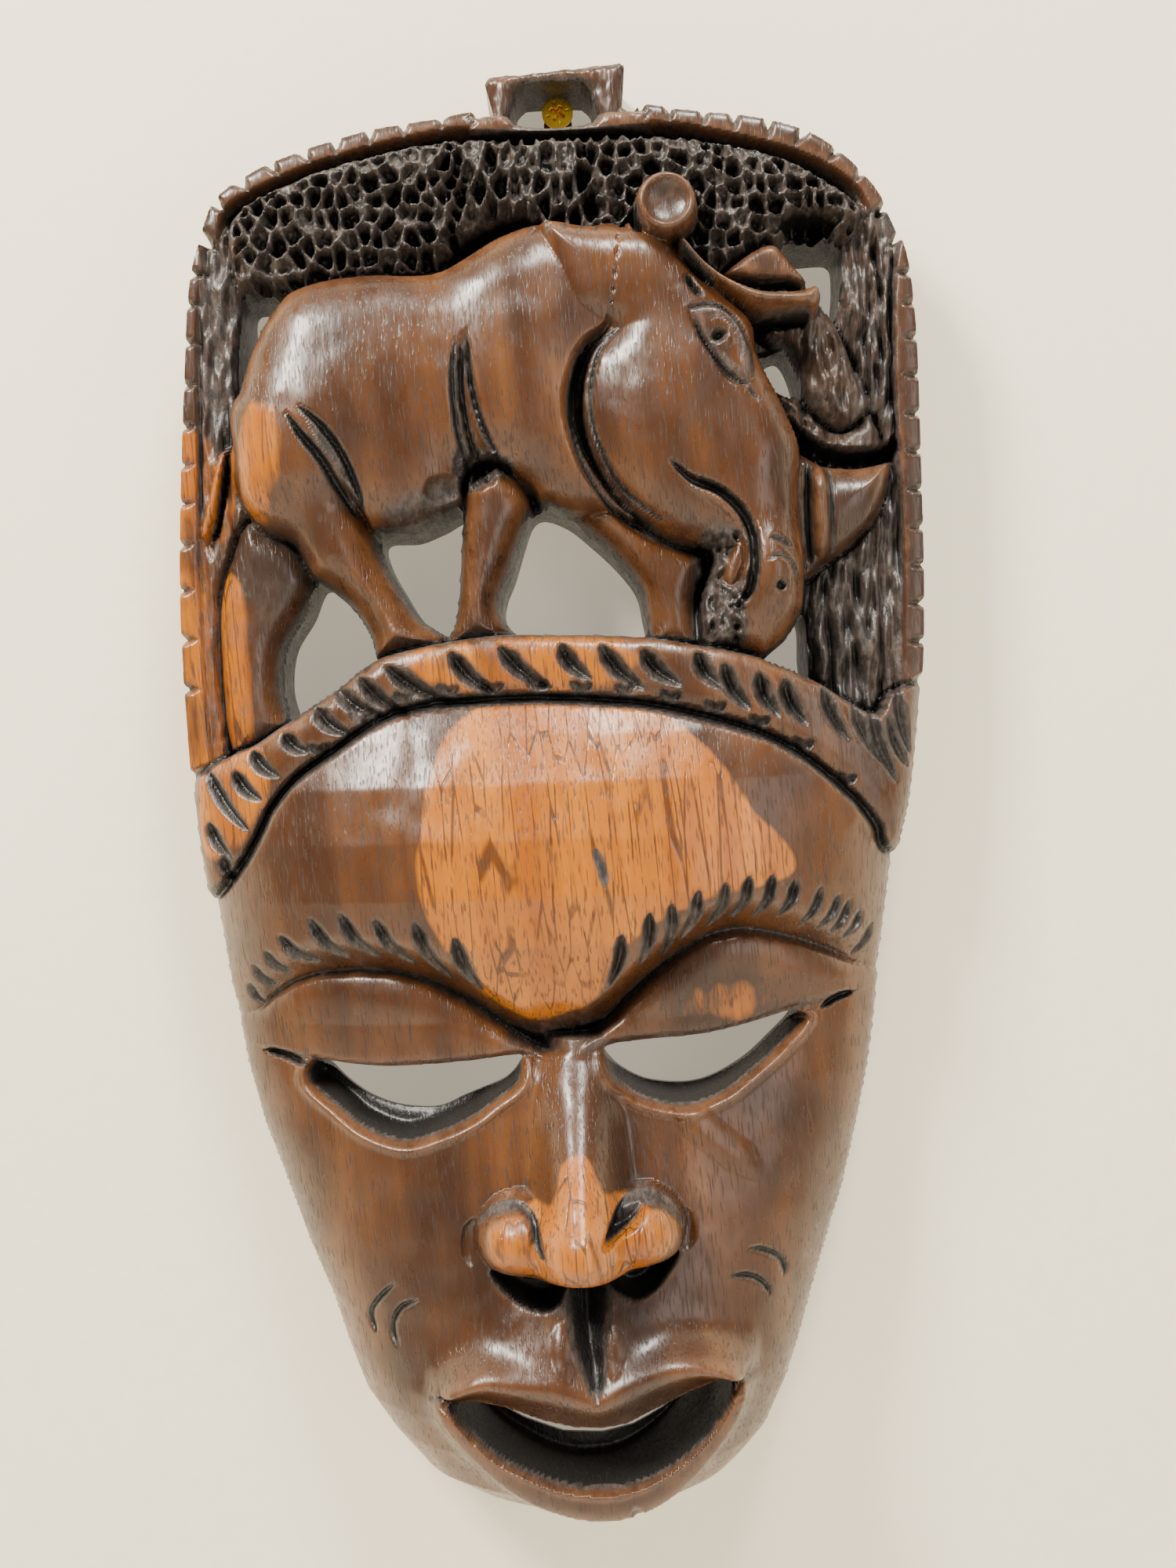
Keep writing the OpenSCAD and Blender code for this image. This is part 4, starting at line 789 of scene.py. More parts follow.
@dataclass
class FaceCarver:
    """Cuts the face: forehead, brows, lids, nose, cheeks, lips and chin."""

    edge_h: float = 13.0
    side_power: float = 0.6
    lip_h: float = 59.0
    lip_swell: float = 7.0
    low_lip_h: float = 59.5
    lip_round: float = 2.5
    lip_edge: float = 4.5
    mouth_rim_h: float = 58.5
    mouth_fall: float = 22.0
    nose_x: float = -4.0
    shell: float = 14.0
    back_rim: float = 11.0

    @staticmethod
    def across(relief: Relief, inset: float = 0.0) -> np.ndarray:
        """Share of the way from the middle of the carving to its side edge, at most 1."""
        left = table([(z, x) for x, z in [*LEFT_EDGE, *CHIN_POINT]], relief.z) + inset
        right = table([(z, x) for x, z in [*RIGHT_EDGE, *CHIN_POINT]], relief.z) - inset
        half = np.maximum((right - left) / 2, 1.0)
        return np.clip(np.abs(relief.x - (left + right) / 2) / half, 0, 1)

    def carve(self, relief: Relief) -> None:
        """Cuts the base form, edge + (crown - edge)(1 - t^2.4)^0.6 high, and the features in it."""
        t = self.across(relief)
        crown = table(CROWN, relief.z)
        face = self.edge_h + (crown - self.edge_h) * (1 - t**2.4) ** self.side_power
        middle = sum(curve(line, relief.x) for line in (ARCH_TOP, ARCH_LOW)) / 2
        below = ease((middle - relief.z) / 3)
        relief.front += below * (face - relief.front)
        relief.paint[Paint.STAIN_AND_SHADE] *= 1 - below
        self.paint_sapwood(relief)
        self.carve_sockets(relief)
        self.carve_nose(relief)
        self.carve_lips(relief)
        self.carve_brow_slashes(relief)
        self.carve_scars(relief)
        self.hollow_back(relief)

    def paint_sapwood(self, relief: Relief) -> None:
        """The golden patch over the middle of the forehead and a smaller one on the right lid."""
        relief.tint(Paint.SAPWOOD, [
            (-20, -160), (0, -160), (15, -163), (29, -171), (37, -181), (43, -191), (51, -199), (53, -206),
            (40, -210), (28, -213), (15, -219), (7, -227), (1, -236), (-12, -241), (-23, -237), (-30, -229),
            (-36, -220), (-40, -210), (-41, -200), (-39.5, -190), (-37, -179), (-32, -168)], 0.95, 7)
        relief.tint(Paint.SAPWOOD, [(24, -236), (36, -231), (48, -235), (52, -241), (38, -245), (24, -244)], 0.52, 9)
        relief.groove([(3, -198), (4.5, -203), (5.5, -208)], 2.6, 0.5, 0.9)

    def carve_sockets(self, relief: Relief) -> None:
        """Sinks each eye under its brow and swells the lid in it.

        With s the distance below the crease and S the lid's height, the surface falls by R(1 - ease(-s / 10)) above
        the crease, and by R(1 - 0.75 sqrt(1 - (1 - s / 0.6S)^2)) on the lid. R is read off a table along x.
        """
        sides = ((LEFT_BROW_LOW, LEFT_LID_LOW, [
            (-100, 1.5), (-88, 4), (-70, 8), (-50, 10), (-30, 11), (-18, 10), (-8, 8)], -1),
            (RIGHT_BROW_LOW, RIGHT_LID_LOW, [(-8, 8), (6, 10), (20, 11), (40, 10), (60, 7), (74, 4), (85, 1.5)], 1))
        for crease, low, depths, side in sides:
            sink = table(depths, relief.x)
            zc, zl = curve(crease, relief.x), curve(low, relief.x)
            s, height = zc - relief.z, np.maximum(zc - zl, 2.0)
            above = sink * (1 - ease(-s / 10))
            swell = np.clip(s / (0.62 * height), 0, 1)
            lid = sink * (1 - 0.78 * np.sqrt(1 - (1 - swell) ** 2))
            under = sink * 0.3 * np.exp(-np.clip(s - height, 0, 60) / 9)
            fall = np.where(s < 0, above, np.where(s < height, lid, under))
            middle = (relief.x - self.nose_x) * side > 0
            relief.front -= np.where(middle & (relief.z < -190), fall, 0)
        relief.dome((-8, -247), (15, 11), -5)
        # Painted shade at the nose root, under the forehead's overhang.
        relief.tint(Paint.STAIN_AND_SHADE, [(-22, -243), (-12, -240), (-4, -240), (4, -242), (4, -249), (-6, -251),
            (-20, -250)], 0.6, 8)
        # Each brow crease is cut and darkened, and a band just above it is darkened with no cut: painted shade under
        # the brow.
        for crease, shift in ((LEFT_BROW_LOW[1:], 0.0), (RIGHT_BROW_LOW[:-1], 0.0)):
            relief.groove(crease, 2.2, 0.9, 0.42, 0.15, 0.15)
            relief.groove([(x, z + 4 + shift) for x, z in crease], 8, 0.0, 0.22, 0.1, 0.1)
        for line in (LEFT_LID_LOW[1:], RIGHT_LID_LOW[:-1]):
            relief.groove([(x, z + 0.4) for x, z in line], 1.4, 0.6, 0.6, 0.1, 0.1)
        relief.groove([(20, -262), (28, -270), (38, -279), (42, -284)], 9, -1.4, 0)
        relief.groove([(-86, -249.5), (-80, -250.5), (-73, -253)], 2.4, 3, 0.95)
        relief.groove([(70, -239.5), (65, -240.5), (60, -243)], 2.4, 3, 0.95)

    def carve_nose(self, relief: Relief) -> None:
        """Raises the bridge, the tip and the wings, and sinks the nostrils and the furrow under them."""
        ridge = table([
            (-246, 48), (-252, 50.5), (-262, 57), (-274, 66), (-284, 75), (-291, 80), (-297, 82), (-301, 79),
            (-304, 68), (-308, 52)], relief.z)
        half = table([(-246, 9), (-256, 11), (-270, 13), (-282, 14), (-290, 15), (-300, 17), (-308, 16)], relief.z)
        t = np.clip(np.abs(relief.x - self.nose_x - 0.5) / half, 0, 1)
        at = (relief.z < -246) & (relief.z > -309)
        lift = np.clip(ridge - relief.front, 0, 60) * (1 - t**2.2) ** 1.7
        relief.front += np.where(at, lift, 0)
        bulge = np.zeros_like(relief.front)
        for centre, radii, top in (((-18.5, -294), (11.5, 11), 69), ((11, -293), (11.5, 11), 69), ((-4, -294),
                (13.5, 11), 80)):
            r2 = ((relief.x - centre[0]) / radii[0]) ** 2 + ((relief.z - centre[1]) / radii[1]) ** 2
            bulge = np.maximum(bulge, np.where(r2 < 1, 50 + (top - 50) * np.sqrt(np.clip(1 - r2, 0, 1)), 0))
        soft = 2.0
        relief.front = np.where(bulge > 0, np.logaddexp(relief.front / soft, bulge / soft) * soft, relief.front)
        under = [
            (-27, -301), (-20, -301.8), (-13, -303.2), (-5, -303.4), (1, -302.6), (8, -301.3), (15, -299.8),
            (21, -298.5)]
        edge = curve(under, relief.x)
        drop = ease((edge - relief.z) / 2.6) * ease((relief.z + 322) / 8) * (np.abs(relief.x + 3) < 24.5)
        relief.front += drop * (np.minimum(relief.front, 55.0) - relief.front)
        # The nostrils are sunk deep and stained near black: stain and painted shade both.
        for hole in ([(-26.5, -303), (-21, -310), (-14, -312.5), (-9.5, -310.5), (-8, -305), (-15, -304)], [
                (2, -305), (8, -310.5), (14, -309), (18, -304.5), (20.5, -300), (13, -301.5)]):
            path = smooth(hole, closed=True)
            at, depth = relief.within(path, 3)
            relief.front[at] -= 9 * ease(depth / 3.5 + 0.2)
            relief.add_paint(Paint.STAIN_AND_SHADE, at, 1.2 * ease(depth / 2.4 + 0.75))
        # Painted shade under the nose, round the nostrils.
        relief.tint(Paint.STAIN_AND_SHADE, [
            (-24, -304), (-20, -311.5), (-8, -314.5), (4, -313.5), (16, -308.5), (19, -301.5), (0, -306)], 0.7, 6)
        relief.groove([(-29.5, -291.5), (-27, -288), (-22.4, -285.6), (-18.3, -285.6), (-15.4, -288), (-13, -295.5)],
            2.4, 2.8, 0.8, 0.5, 0.05)
        relief.groove([(-13, -294.5), (-12.7, -296)], 3.0, 3.0, 0.95, 0.9, 0.9)
        relief.groove([(2.5, -292), (5, -288.3), (7.5, -285.6), (11, -284.2), (16, -285.2), (20, -289), (21.8, -294)],
            3.2, 3.0, 0.8, 0.1, 0.5)
        wedge = [(2.5, -292.5), (4.5, -288.5), (7, -285.4), (11, -284.2), (11.5, -286.6), (8, -290.3)]
        relief.mound(wedge, 60.5, 1.0, 2.0, 2.5)
        relief.tint(Paint.STAIN_AND_SHADE, wedge, 0.9, 1.5)
        for points in ([(-31.5, -302), (-32, -296), (-30, -290)], [(22.5, -300), (23, -294), (21.5, -289)]):
            relief.groove(points, 4.5, 1.4, 0.12)
        relief.tint(Paint.SAPWOOD, [
            (-8, -275), (-2, -273), (3, -281), (10.5, -284), (19, -288), (20, -294), (15.5, -299), (-2, -303.5),
            (-13.5, -302), (-25, -299), (-26, -290), (-17.5, -285), (-10.5, -283)], 0.85, 6)

    def carve_lips(self, relief: Relief) -> None:
        """The muzzle with its furrow, the two lips and the slope inside the mouth down to the sill.

        The upper lip's crest is lip_h + lip_swell * sqrt(1 - u^2) high, with u the share of the way out to a corner,
        and falls by lip_swell to the opening. The lower lip is low_lip_h high and rounded at its outer edge. Inside
        the mouth the surface falls by mouth_fall * t^0.62, with t the share of the way from the rim to the sill.
        """
        relief.dome((-3, -322), (34, 17), 5)
        crest = smooth([
            (-38.5, -332.5), (-29.5, -328.5), (-20, -329), (-13, -329.5), (-8, -331), (-1, -333), (4, -331),
            (10, -328.5), (18, -326.5), (26, -327), (34.5, -331)])
        rim = [(x, z + 1.8 * ease(1 - abs(x + 2) / 36)) for x, z in MOUTH_LOW]
        zc, zt, edge, sill = (table([tuple(p) for p in line], relief.x) for line in (
            crest, smooth(MOUTH_TOP), smooth(rim), smooth(MOUTH_SILL)))
        z, everywhere = relief.z, (slice(None), slice(None))
        wide = ease((relief.x + 45) / 9) * ease((42 - relief.x) / 10)
        lip = self.lip_h + self.lip_swell * np.sqrt(np.clip(1 - ((relief.x + 2) / 38) ** 2, 0, 1))
        s = (zc - z) / np.maximum(zc - zt, 1.0)
        relief.front += (z >= zc) * wide * (lip - relief.front) * np.exp(-((z - zc) / 5.5) ** 2)
        relief.front += (z < zc) * (s < 1.6) * wide * (lip - self.lip_swell * ease(s) - relief.front)
        # Darker on the upper lip's underside, which faces down: painted shade.
        relief.add_paint(Paint.DARK, everywhere, 0.6 * ease((s - 0.1) / 0.5) * wide * (s < 1.6))
        relief.groove([(-2.5, -303), (-2.5, -311), (-2.5, -319), (-1.5, -325.5), (-1, -332.5)], 13, 8, 0.97, 0.01,
            0.9, sharp=True)
        for points in ([(-9, -315), (-9.5, -321), (-8, -328)], [(3, -316), (4, -321), (3, -328)]):
            relief.groove(points, 5, -0.9, 0)
        ring = smooth(between(MOUTH_TOP, LIP_LOW), closed=True)
        at = relief.near(ring, 14)
        depth = depth_inside(relief.x[at], z[at], ring)
        low = (z[at] < edge[at] + 0.3) | (np.abs(relief.x[at] + 2.2) > 36.5)
        band = self.low_lip_h - self.lip_round * (1 - np.clip(depth / self.lip_edge, 0, 1)) ** 2
        reach = ease((-331 - z[at]) / 5)
        relief.front[at] = np.where((depth > 0) & low, relief.front[at] + reach * (band - relief.front[at]),
                                    relief.front[at])
        beyond = reach * (self.low_lip_h - self.lip_round - relief.front[at]) * np.exp(depth / 1.8)
        relief.front[at] += np.where(depth <= 0, np.clip(beyond, 0, 40), 0)
        relief.add_paint(Paint.DARK, at, 0.5 * ease(depth + 1) * (z[at] < -338))
        t = (z - edge) / np.maximum(sill - edge, 1.0)
        inside = (np.abs(relief.x + 2.2) < 36.5) & (z < (zt + sill) / 2) & (z > edge)
        fall = self.mouth_fall * ease((sill - edge) / 7) * np.clip(t, 0, 1) ** 0.62
        relief.front = np.where(inside, self.mouth_rim_h - fall, relief.front)
        relief.add_paint(Paint.STAIN_AND_SHADE, everywhere, np.where(inside, ease((t + 0.02) / 0.07), 0))
        relief.groove([(x, z + 0.8) for x, z in MOUTH_LOW[1:-1]], 2.6, -0.7, 0, 0.1, 0.1)
        relief.groove([(7, -361), (8, -363), (9.5, -365.5)], 2.8, 1.4, 0.6)
        for points in ([(-39, -333.5), (-43, -335)], [(35, -330.5), (38, -330)]):
            relief.groove(points, 2.0, 1.2, 0.6)

    def carve_brow_slashes(self, relief: Relief) -> None:
        """Slashes each brow into a row of leaves."""
        relief.slashes([(-89, -231.5, -85, -237.5), (-87, -226.5, -81, -232), (-83, -222.5, -76, -228.5)], 3.6, 2.4,
                       bow=-0.9)
        relief.slashes([
            (-78.5, -218.5, -67.5, -225.5), (-69.5, -214, -59.5, -224.5), (-61.5, -212.5, -51.5, -224.5),
            (-52.5, -214, -42.5, -226.5), (-42.5, -215, -33.5, -230.5), (-32.5, -219, -26, -233.5)], 4.4, 3.2,
            bow=-1.2)
        relief.slashes([
            (9, -219.5, 5, -233.5), (16, -214.5, 13, -228.5), (21.5, -212.5, 19, -226.5),
            (28.5, -209.5, 23.5, -222.5), (35.5, -208, 30.5, -219.5), (41.5, -206.5, 36.5, -217.5),
            (47.5, -206.5, 42.5, -217.5), (53.5, -208, 48.5, -217.5)], 3.9, 3.0, bow=1.1)
        relief.slashes([
            (60.5, -210.5, 54.5, -220.5), (65.5, -213, 59.5, -221.5), (68.5, -214.5, 62.5, -223.5),
            (72, -217.5, 66.5, -224.5), (75.5, -221.5, 69.5, -229.5)], 3.2, 2.4, bow=0.9)

    def carve_scars(self, relief: Relief) -> None:
        """Two short curved scars on each cheek."""
        for points in ([(-51, -307), (-55.5, -311.5), (-58.5, -316.5), (-57, -322)], [
                (-45, -311), (-50, -313.5), (-52.5, -318.5), (-51.5, -324)], [(38, -301.5), (43, -303),
                (47.5, -306.5), (48.5, -311)], [(33, -308), (38, -308.5), (42, -311), (44.5, -315)]):
            relief.groove(points, 1.9, 1.5, 0.95, 0.25, 0.15)

    def hollow_back(self, relief: Relief) -> None:
        """Hollows the back behind the face: the crown less the shell, times sqrt(1 - t^2), faded at both ends."""
        t = self.across(relief, self.back_rim)
        near_top, near_chin = np.clip((-168 - relief.z) / 14, 0, 1), np.clip((relief.z + 366) / 12, 0, 1)
        hollow = np.maximum(table(CROWN, relief.z) - self.shell, 0) * np.sqrt(1 - t**2) * near_top * near_chin
        relief.back = np.where(relief.z < -168, hollow, relief.back)


# ---------------------------------------------------------------- sawing the relief into its pieces


@dataclass
class Sawyer:
    """Divides the relief into one closed piece for each region of the carving."""

    skin: float = 1.0
    jaw_x: float = -4.0

    def label(self, relief: Relief) -> tuple[np.ndarray, list[str]]:
        """Numbers each cell by the region that its centre lies in; where regions overlap, the first named has it.

        Args:
            relief: the carved relief, whose inside says which cells are wood.

        Returns:
            The cells' numbers, -1 where there is no wood, and the regions' names.
        """
        x = (relief.x[:-1, :-1] + relief.x[1:, 1:]) / 2
        z = (relief.z[:-1, :-1] + relief.z[1:, 1:]) / 2
        inside = relief.inside
        depth = (inside[:-1, :-1] + inside[1:, :-1] + inside[:-1, 1:] + inside[1:, 1:]) / 4
        wood = depth > 0
        whole = np.ones(x.shape, bool)
        for _ in range(2):
            loose = wood[:-1, :-1] & wood[1:, 1:] & ~wood[:-1, 1:] & ~wood[1:, :-1]
            wood[:-1, 1:] |= loose
            loose = wood[:-1, 1:] & wood[1:, :-1] & ~wood[:-1, :-1] & ~wood[1:, 1:]
            wood[:-1, :-1] |= loose

        def area(outline: Plan) -> np.ndarray:
            """Whether each cell lies in an outline."""
            path = smooth(outline, closed=True, per=4)
            found = np.zeros(x.shape, bool)
            i = np.searchsorted(relief.xs, [path[:, 0].min() - 1, path[:, 0].max() + 1])
            j = np.searchsorted(relief.zs, [path[:, 1].min() - 1, path[:, 1].max() + 1])
            at = slice(max(j[0] - 1, 0), j[1]), slice(max(i[0] - 1, 0), i[1])
            found[at] = depth_inside(x[at], z[at], path) > 0
            return found

        angle = np.linspace(0, 2 * math.pi, 16, endpoint=False)
        ear = [(EAR_CENTRE[0] + EAR_R * math.cos(a), EAR_CENTRE[1] + EAR_R * math.sin(a)) for a in angle]
        lug = [(-18.5, 12), (18.5, 12), (17.2, -9.6), (-17.2, -9.6)]
        crest = z > curve(ARCH_TOP, x)
        rim_low = curve(RIM_INNER, x)
        face = ~crest
        regions = [
            ("hanging_lug", depth_inside(x, z, np.array(lug)) > 0), ("buffalo_ear", area(ear)),
            ("near_horn", area(NEAR_HORN)), ("buffalo_head", area(HEAD)), ("near_foreleg", area(NEAR_FORE) & crest),
            ("near_hind_leg", area(NEAR_HIND) & crest), ("far_foreleg", area(FAR_FORE) & crest),
            ("buffalo_body", area(BODY)), ("buffalo_tail", area(TAIL)), ("far_hind_leg", area(FAR_HIND) & crest),
            ("far_horn", area(FAR_HORN)), ("ringed_horn", area(RINGED)), ("vine_branch", area(VINE)),
            ("bark_panel", area(BARK) & crest), ("rim_top", (z > rim_low) & (z > -37) & crest),
            ("left_post", area(LEFT_POST) & crest), ("right_post", area(RIGHT_POST) & crest),
            ("leaf_canopy", crest & (z > -56)), ("left_post", crest & (x < -60)), ("right_post", crest & (x > 40)),
            ("buffalo_body", crest),
            ("braid_arch", area(between(ARCH_TOP, ARCH_LOW)) & face), ("nose", area(NOSE)),
            ("upper_lip", area(between(UPPER_LIP_TOP[1:-1], MOUTH_TOP))),
            ("lower_lip", area(between(MOUTH_SILL, LIP_LOW[1:-1]))),
            ("left_brow", area(between(LEFT_BROW_TOP, LEFT_BROW_LOW))),
            ("right_brow", area(between(RIGHT_BROW_TOP, RIGHT_BROW_LOW))),
            ("left_eyelid", area(between(LEFT_BROW_LOW, LEFT_LID_LOW))),
            ("right_eyelid", area(between(RIGHT_BROW_LOW, RIGHT_LID_LOW))),
            ("forehead", whole & (z > table([(-110, -246), (-60, -240), (-8, -247), (60, -240), (110, -246)], x))),
            ("chin", whole & (z < table([(-110, -338), (-46, -338), (-36, -330), (30, -330), (42, -338), (110, -338)],
                                        x))),
            ("left_cheek", whole & (x < self.jaw_x)), ("right_cheek", whole)]
        names = list(dict.fromkeys(name for name, _ in regions))
        cells = np.full(x.shape, -1)
        for name, found in regions:
            cells[found & wood & (cells < 0)] = names.index(name)
        return cells, names

    def snap(self, relief: Relief, cells: np.ndarray) -> tuple[np.ndarray, np.ndarray]:
        """Moves each edge vertex of the wood onto the true outline, along the gradient of its depth inside.

        Args:
            relief: the carved relief.
            cells: the cells' numbers.

        Returns:
            The moved x and z of all the grid's vertices.
        """
        wood = np.pad(cells >= 0, 1)
        around = wood[:-1, :-1].astype(int) + wood[1:, :-1] + wood[:-1, 1:] + wood[1:, 1:]
        edge = (around > 0) & (around < 4)
        slope_z, slope_x = np.gradient(relief.inside, relief.step)
        size = np.maximum(np.hypot(slope_x, slope_z), 0.3)
        move = np.clip(relief.inside / size, -0.72 * relief.step, 0.72 * relief.step) * edge
        return relief.x - move * slope_x / size, relief.z - move * slope_z / size

    def saw(self, relief: Relief) -> dict[str, bpy.types.Object]:
        """Makes a closed mesh for each region: its front, its back turned over, and a wall round its border.

        Neighbours share the vertices of their border, so no seam opens between them. Normals come from the slopes
        of the whole relief, so no crease shows there either.
        """
        cells, names = self.label(relief)
        x, z = self.snap(relief, cells)
        front = np.maximum(relief.front, relief.back + self.skin)
        sides = []
        for height in (front, relief.back):
            slope_z, slope_x = np.gradient(height, relief.step)
            sides.append((slope_x, slope_z))
        edge_z, edge_x = np.gradient(relief.inside, relief.step)
        rows, columns = relief.x.shape
        index = np.arange(rows * columns).reshape(rows, columns)
        points = np.stack([x, -front, z], -1).reshape(-1, 3), np.stack([x, -relief.back, z], -1).reshape(-1, 3)
        ones = np.ones_like(x)
        normals = [np.stack(n, -1).reshape(-1, 3) for n in (
            (-sides[0][0], -ones, -sides[0][1]), (sides[1][0], ones, sides[1][1]), (-edge_x, 0 * ones, -edge_z))]
        paint = np.stack([relief.paint[channel] for channel in Paint], -1).reshape(-1, 4)
        hidden = paint.copy()
        hidden[:, Paint.STAIN_AND_SHADE.value] = np.maximum(hidden[:, Paint.STAIN_AND_SHADE.value], 0.75)
        pieces = {}
        for number, name in enumerate(names):
            here = cells == number
            if not here.any():
                LOG.warning("region %s has no wood", name)
                continue
            j, i = np.nonzero(here)
            quads = np.stack([index[j, i], index[j, i + 1], index[j + 1, i + 1], index[j + 1, i]], 1)
            ring = np.pad(here, 1)
            borders = []
            for dj, di, a, b in ((-1, 0, 0, 1), (0, 1, 1, 2), (1, 0, 2, 3), (0, -1, 3, 0)):
                open_side = ~ring[j + 1 + dj, i + 1 + di]
                borders.append(np.stack([quads[open_side, a], quads[open_side, b]], 1))
            border = np.vstack(borders)
            used = np.unique(quads)
            place = np.full(rows * columns, -1)
            place[used] = np.arange(len(used))
            n = len(used)
            top, p, q = place[quads], place[border[:, 0]], place[border[:, 1]]
            faces = np.vstack([top, top[:, ::-1] + n, np.stack([q, p, p + n, q + n], 1)])
            vertices = np.vstack([points[0][used], points[1][used]])
            corner = np.concatenate([normals[0][quads].reshape(-1, 3), normals[1][quads[:, ::-1]].reshape(-1, 3),
                                     normals[2][np.stack([border[:, 1], border[:, 0], border[:, 0], border[:, 1]],
                                                         1)].reshape(-1, 3)])
            size = np.linalg.norm(corner, axis=1, keepdims=True)
            corner = np.where(size > 1e-6, corner / np.maximum(size, 1e-6), 0)
            pieces[name] = self.make_piece(f"carved_{name}", vertices, faces, corner,
                                           np.vstack([paint[used], hidden[used]]), len(quads) * 2)
        return pieces

    @staticmethod
    def make_piece(name: str, vertices: np.ndarray, faces: np.ndarray, corner: np.ndarray, paint: np.ndarray,
                   smooth_faces: int) -> bpy.types.Object:
        """Puts one region's arrays into a mesh.

        Args:
            name: the piece's name.
            vertices: points in mm.
            faces: four vertices a row.
            corner: a normal for each corner of each face; a zero one is worked out from the mesh.
            paint: four channels for each vertex.
            smooth_faces: how many of the faces are front and back; the rest are border walls.

        Returns:
            The object, at the origin.
        """
        mesh = bpy.data.meshes.new(name)
        mesh.from_pydata((vertices * MM).tolist(), [], faces.tolist())
        mesh.update()
        mesh.polygons.foreach_set("use_smooth", np.ones(len(faces), bool))
        layer = mesh.attributes.new("paint", "FLOAT_COLOR", "POINT")
        layer.data.foreach_set("color", paint.astype(np.float32).ravel())
        wall = corner[smooth_faces * 4:].reshape(-1, 4, 3)
        a, b, c, _ = (vertices[faces[smooth_faces:, k]] for k in range(4))
        flat = np.cross(b - a, c - b)
        flat /= np.maximum(np.linalg.norm(flat, axis=1, keepdims=True), 1e-9)
        agree = (wall * flat[:, None]).sum(2, keepdims=True) > 0.5
        corner[smooth_faces * 4:] = np.where(agree, wall, flat[:, None]).reshape(-1, 3)
        mesh.normals_split_custom_set(corner.tolist())
        piece = bpy.data.objects.new(name, mesh)
        bpy.context.collection.objects.link(piece)
        return piece


# ---------------------------------------------------------------- finishes


def linear(code: str) -> tuple[float, float, float, float]:
    """Turns an sRGB hex colour such as "8a5a3c" to linear light with alpha 1."""
    parts = [int(code[k:k + 2], 16) / 255 for k in (0, 2, 4)]
    return (*(c / 12.92 if c <= 0.04045 else ((c + 0.055) / 1.055) ** 2.4 for c in parts), 1.0)


def add_node(tree: bpy.types.NodeTree, kind: str, inputs: dict | None = None, **settings: object) -> bpy.types.Node:
    """Adds a node.

    Args:
        tree: the material's node tree.
        kind: the node's type, such as "ShaderNodeMath".
        inputs: what each input takes by name or number: a value, or the output socket that links to it.
        settings: the node's own properties.

    Returns:
        The node.
    """
    node = tree.nodes.new(kind)
    for name, value in settings.items():
        setattr(node, name, value)
    for name, value in (inputs or {}).items():
        if isinstance(value, bpy.types.NodeSocket):
            tree.links.new(value, node.inputs[name])
        else:
            node.inputs[name].default_value = value
    return node


class Blend(Enum):
    """How one colour is laid on another."""

    OVER = "MIX"
    MULTIPLY = "MULTIPLY"
    LIGHTEN = "LIGHTEN"


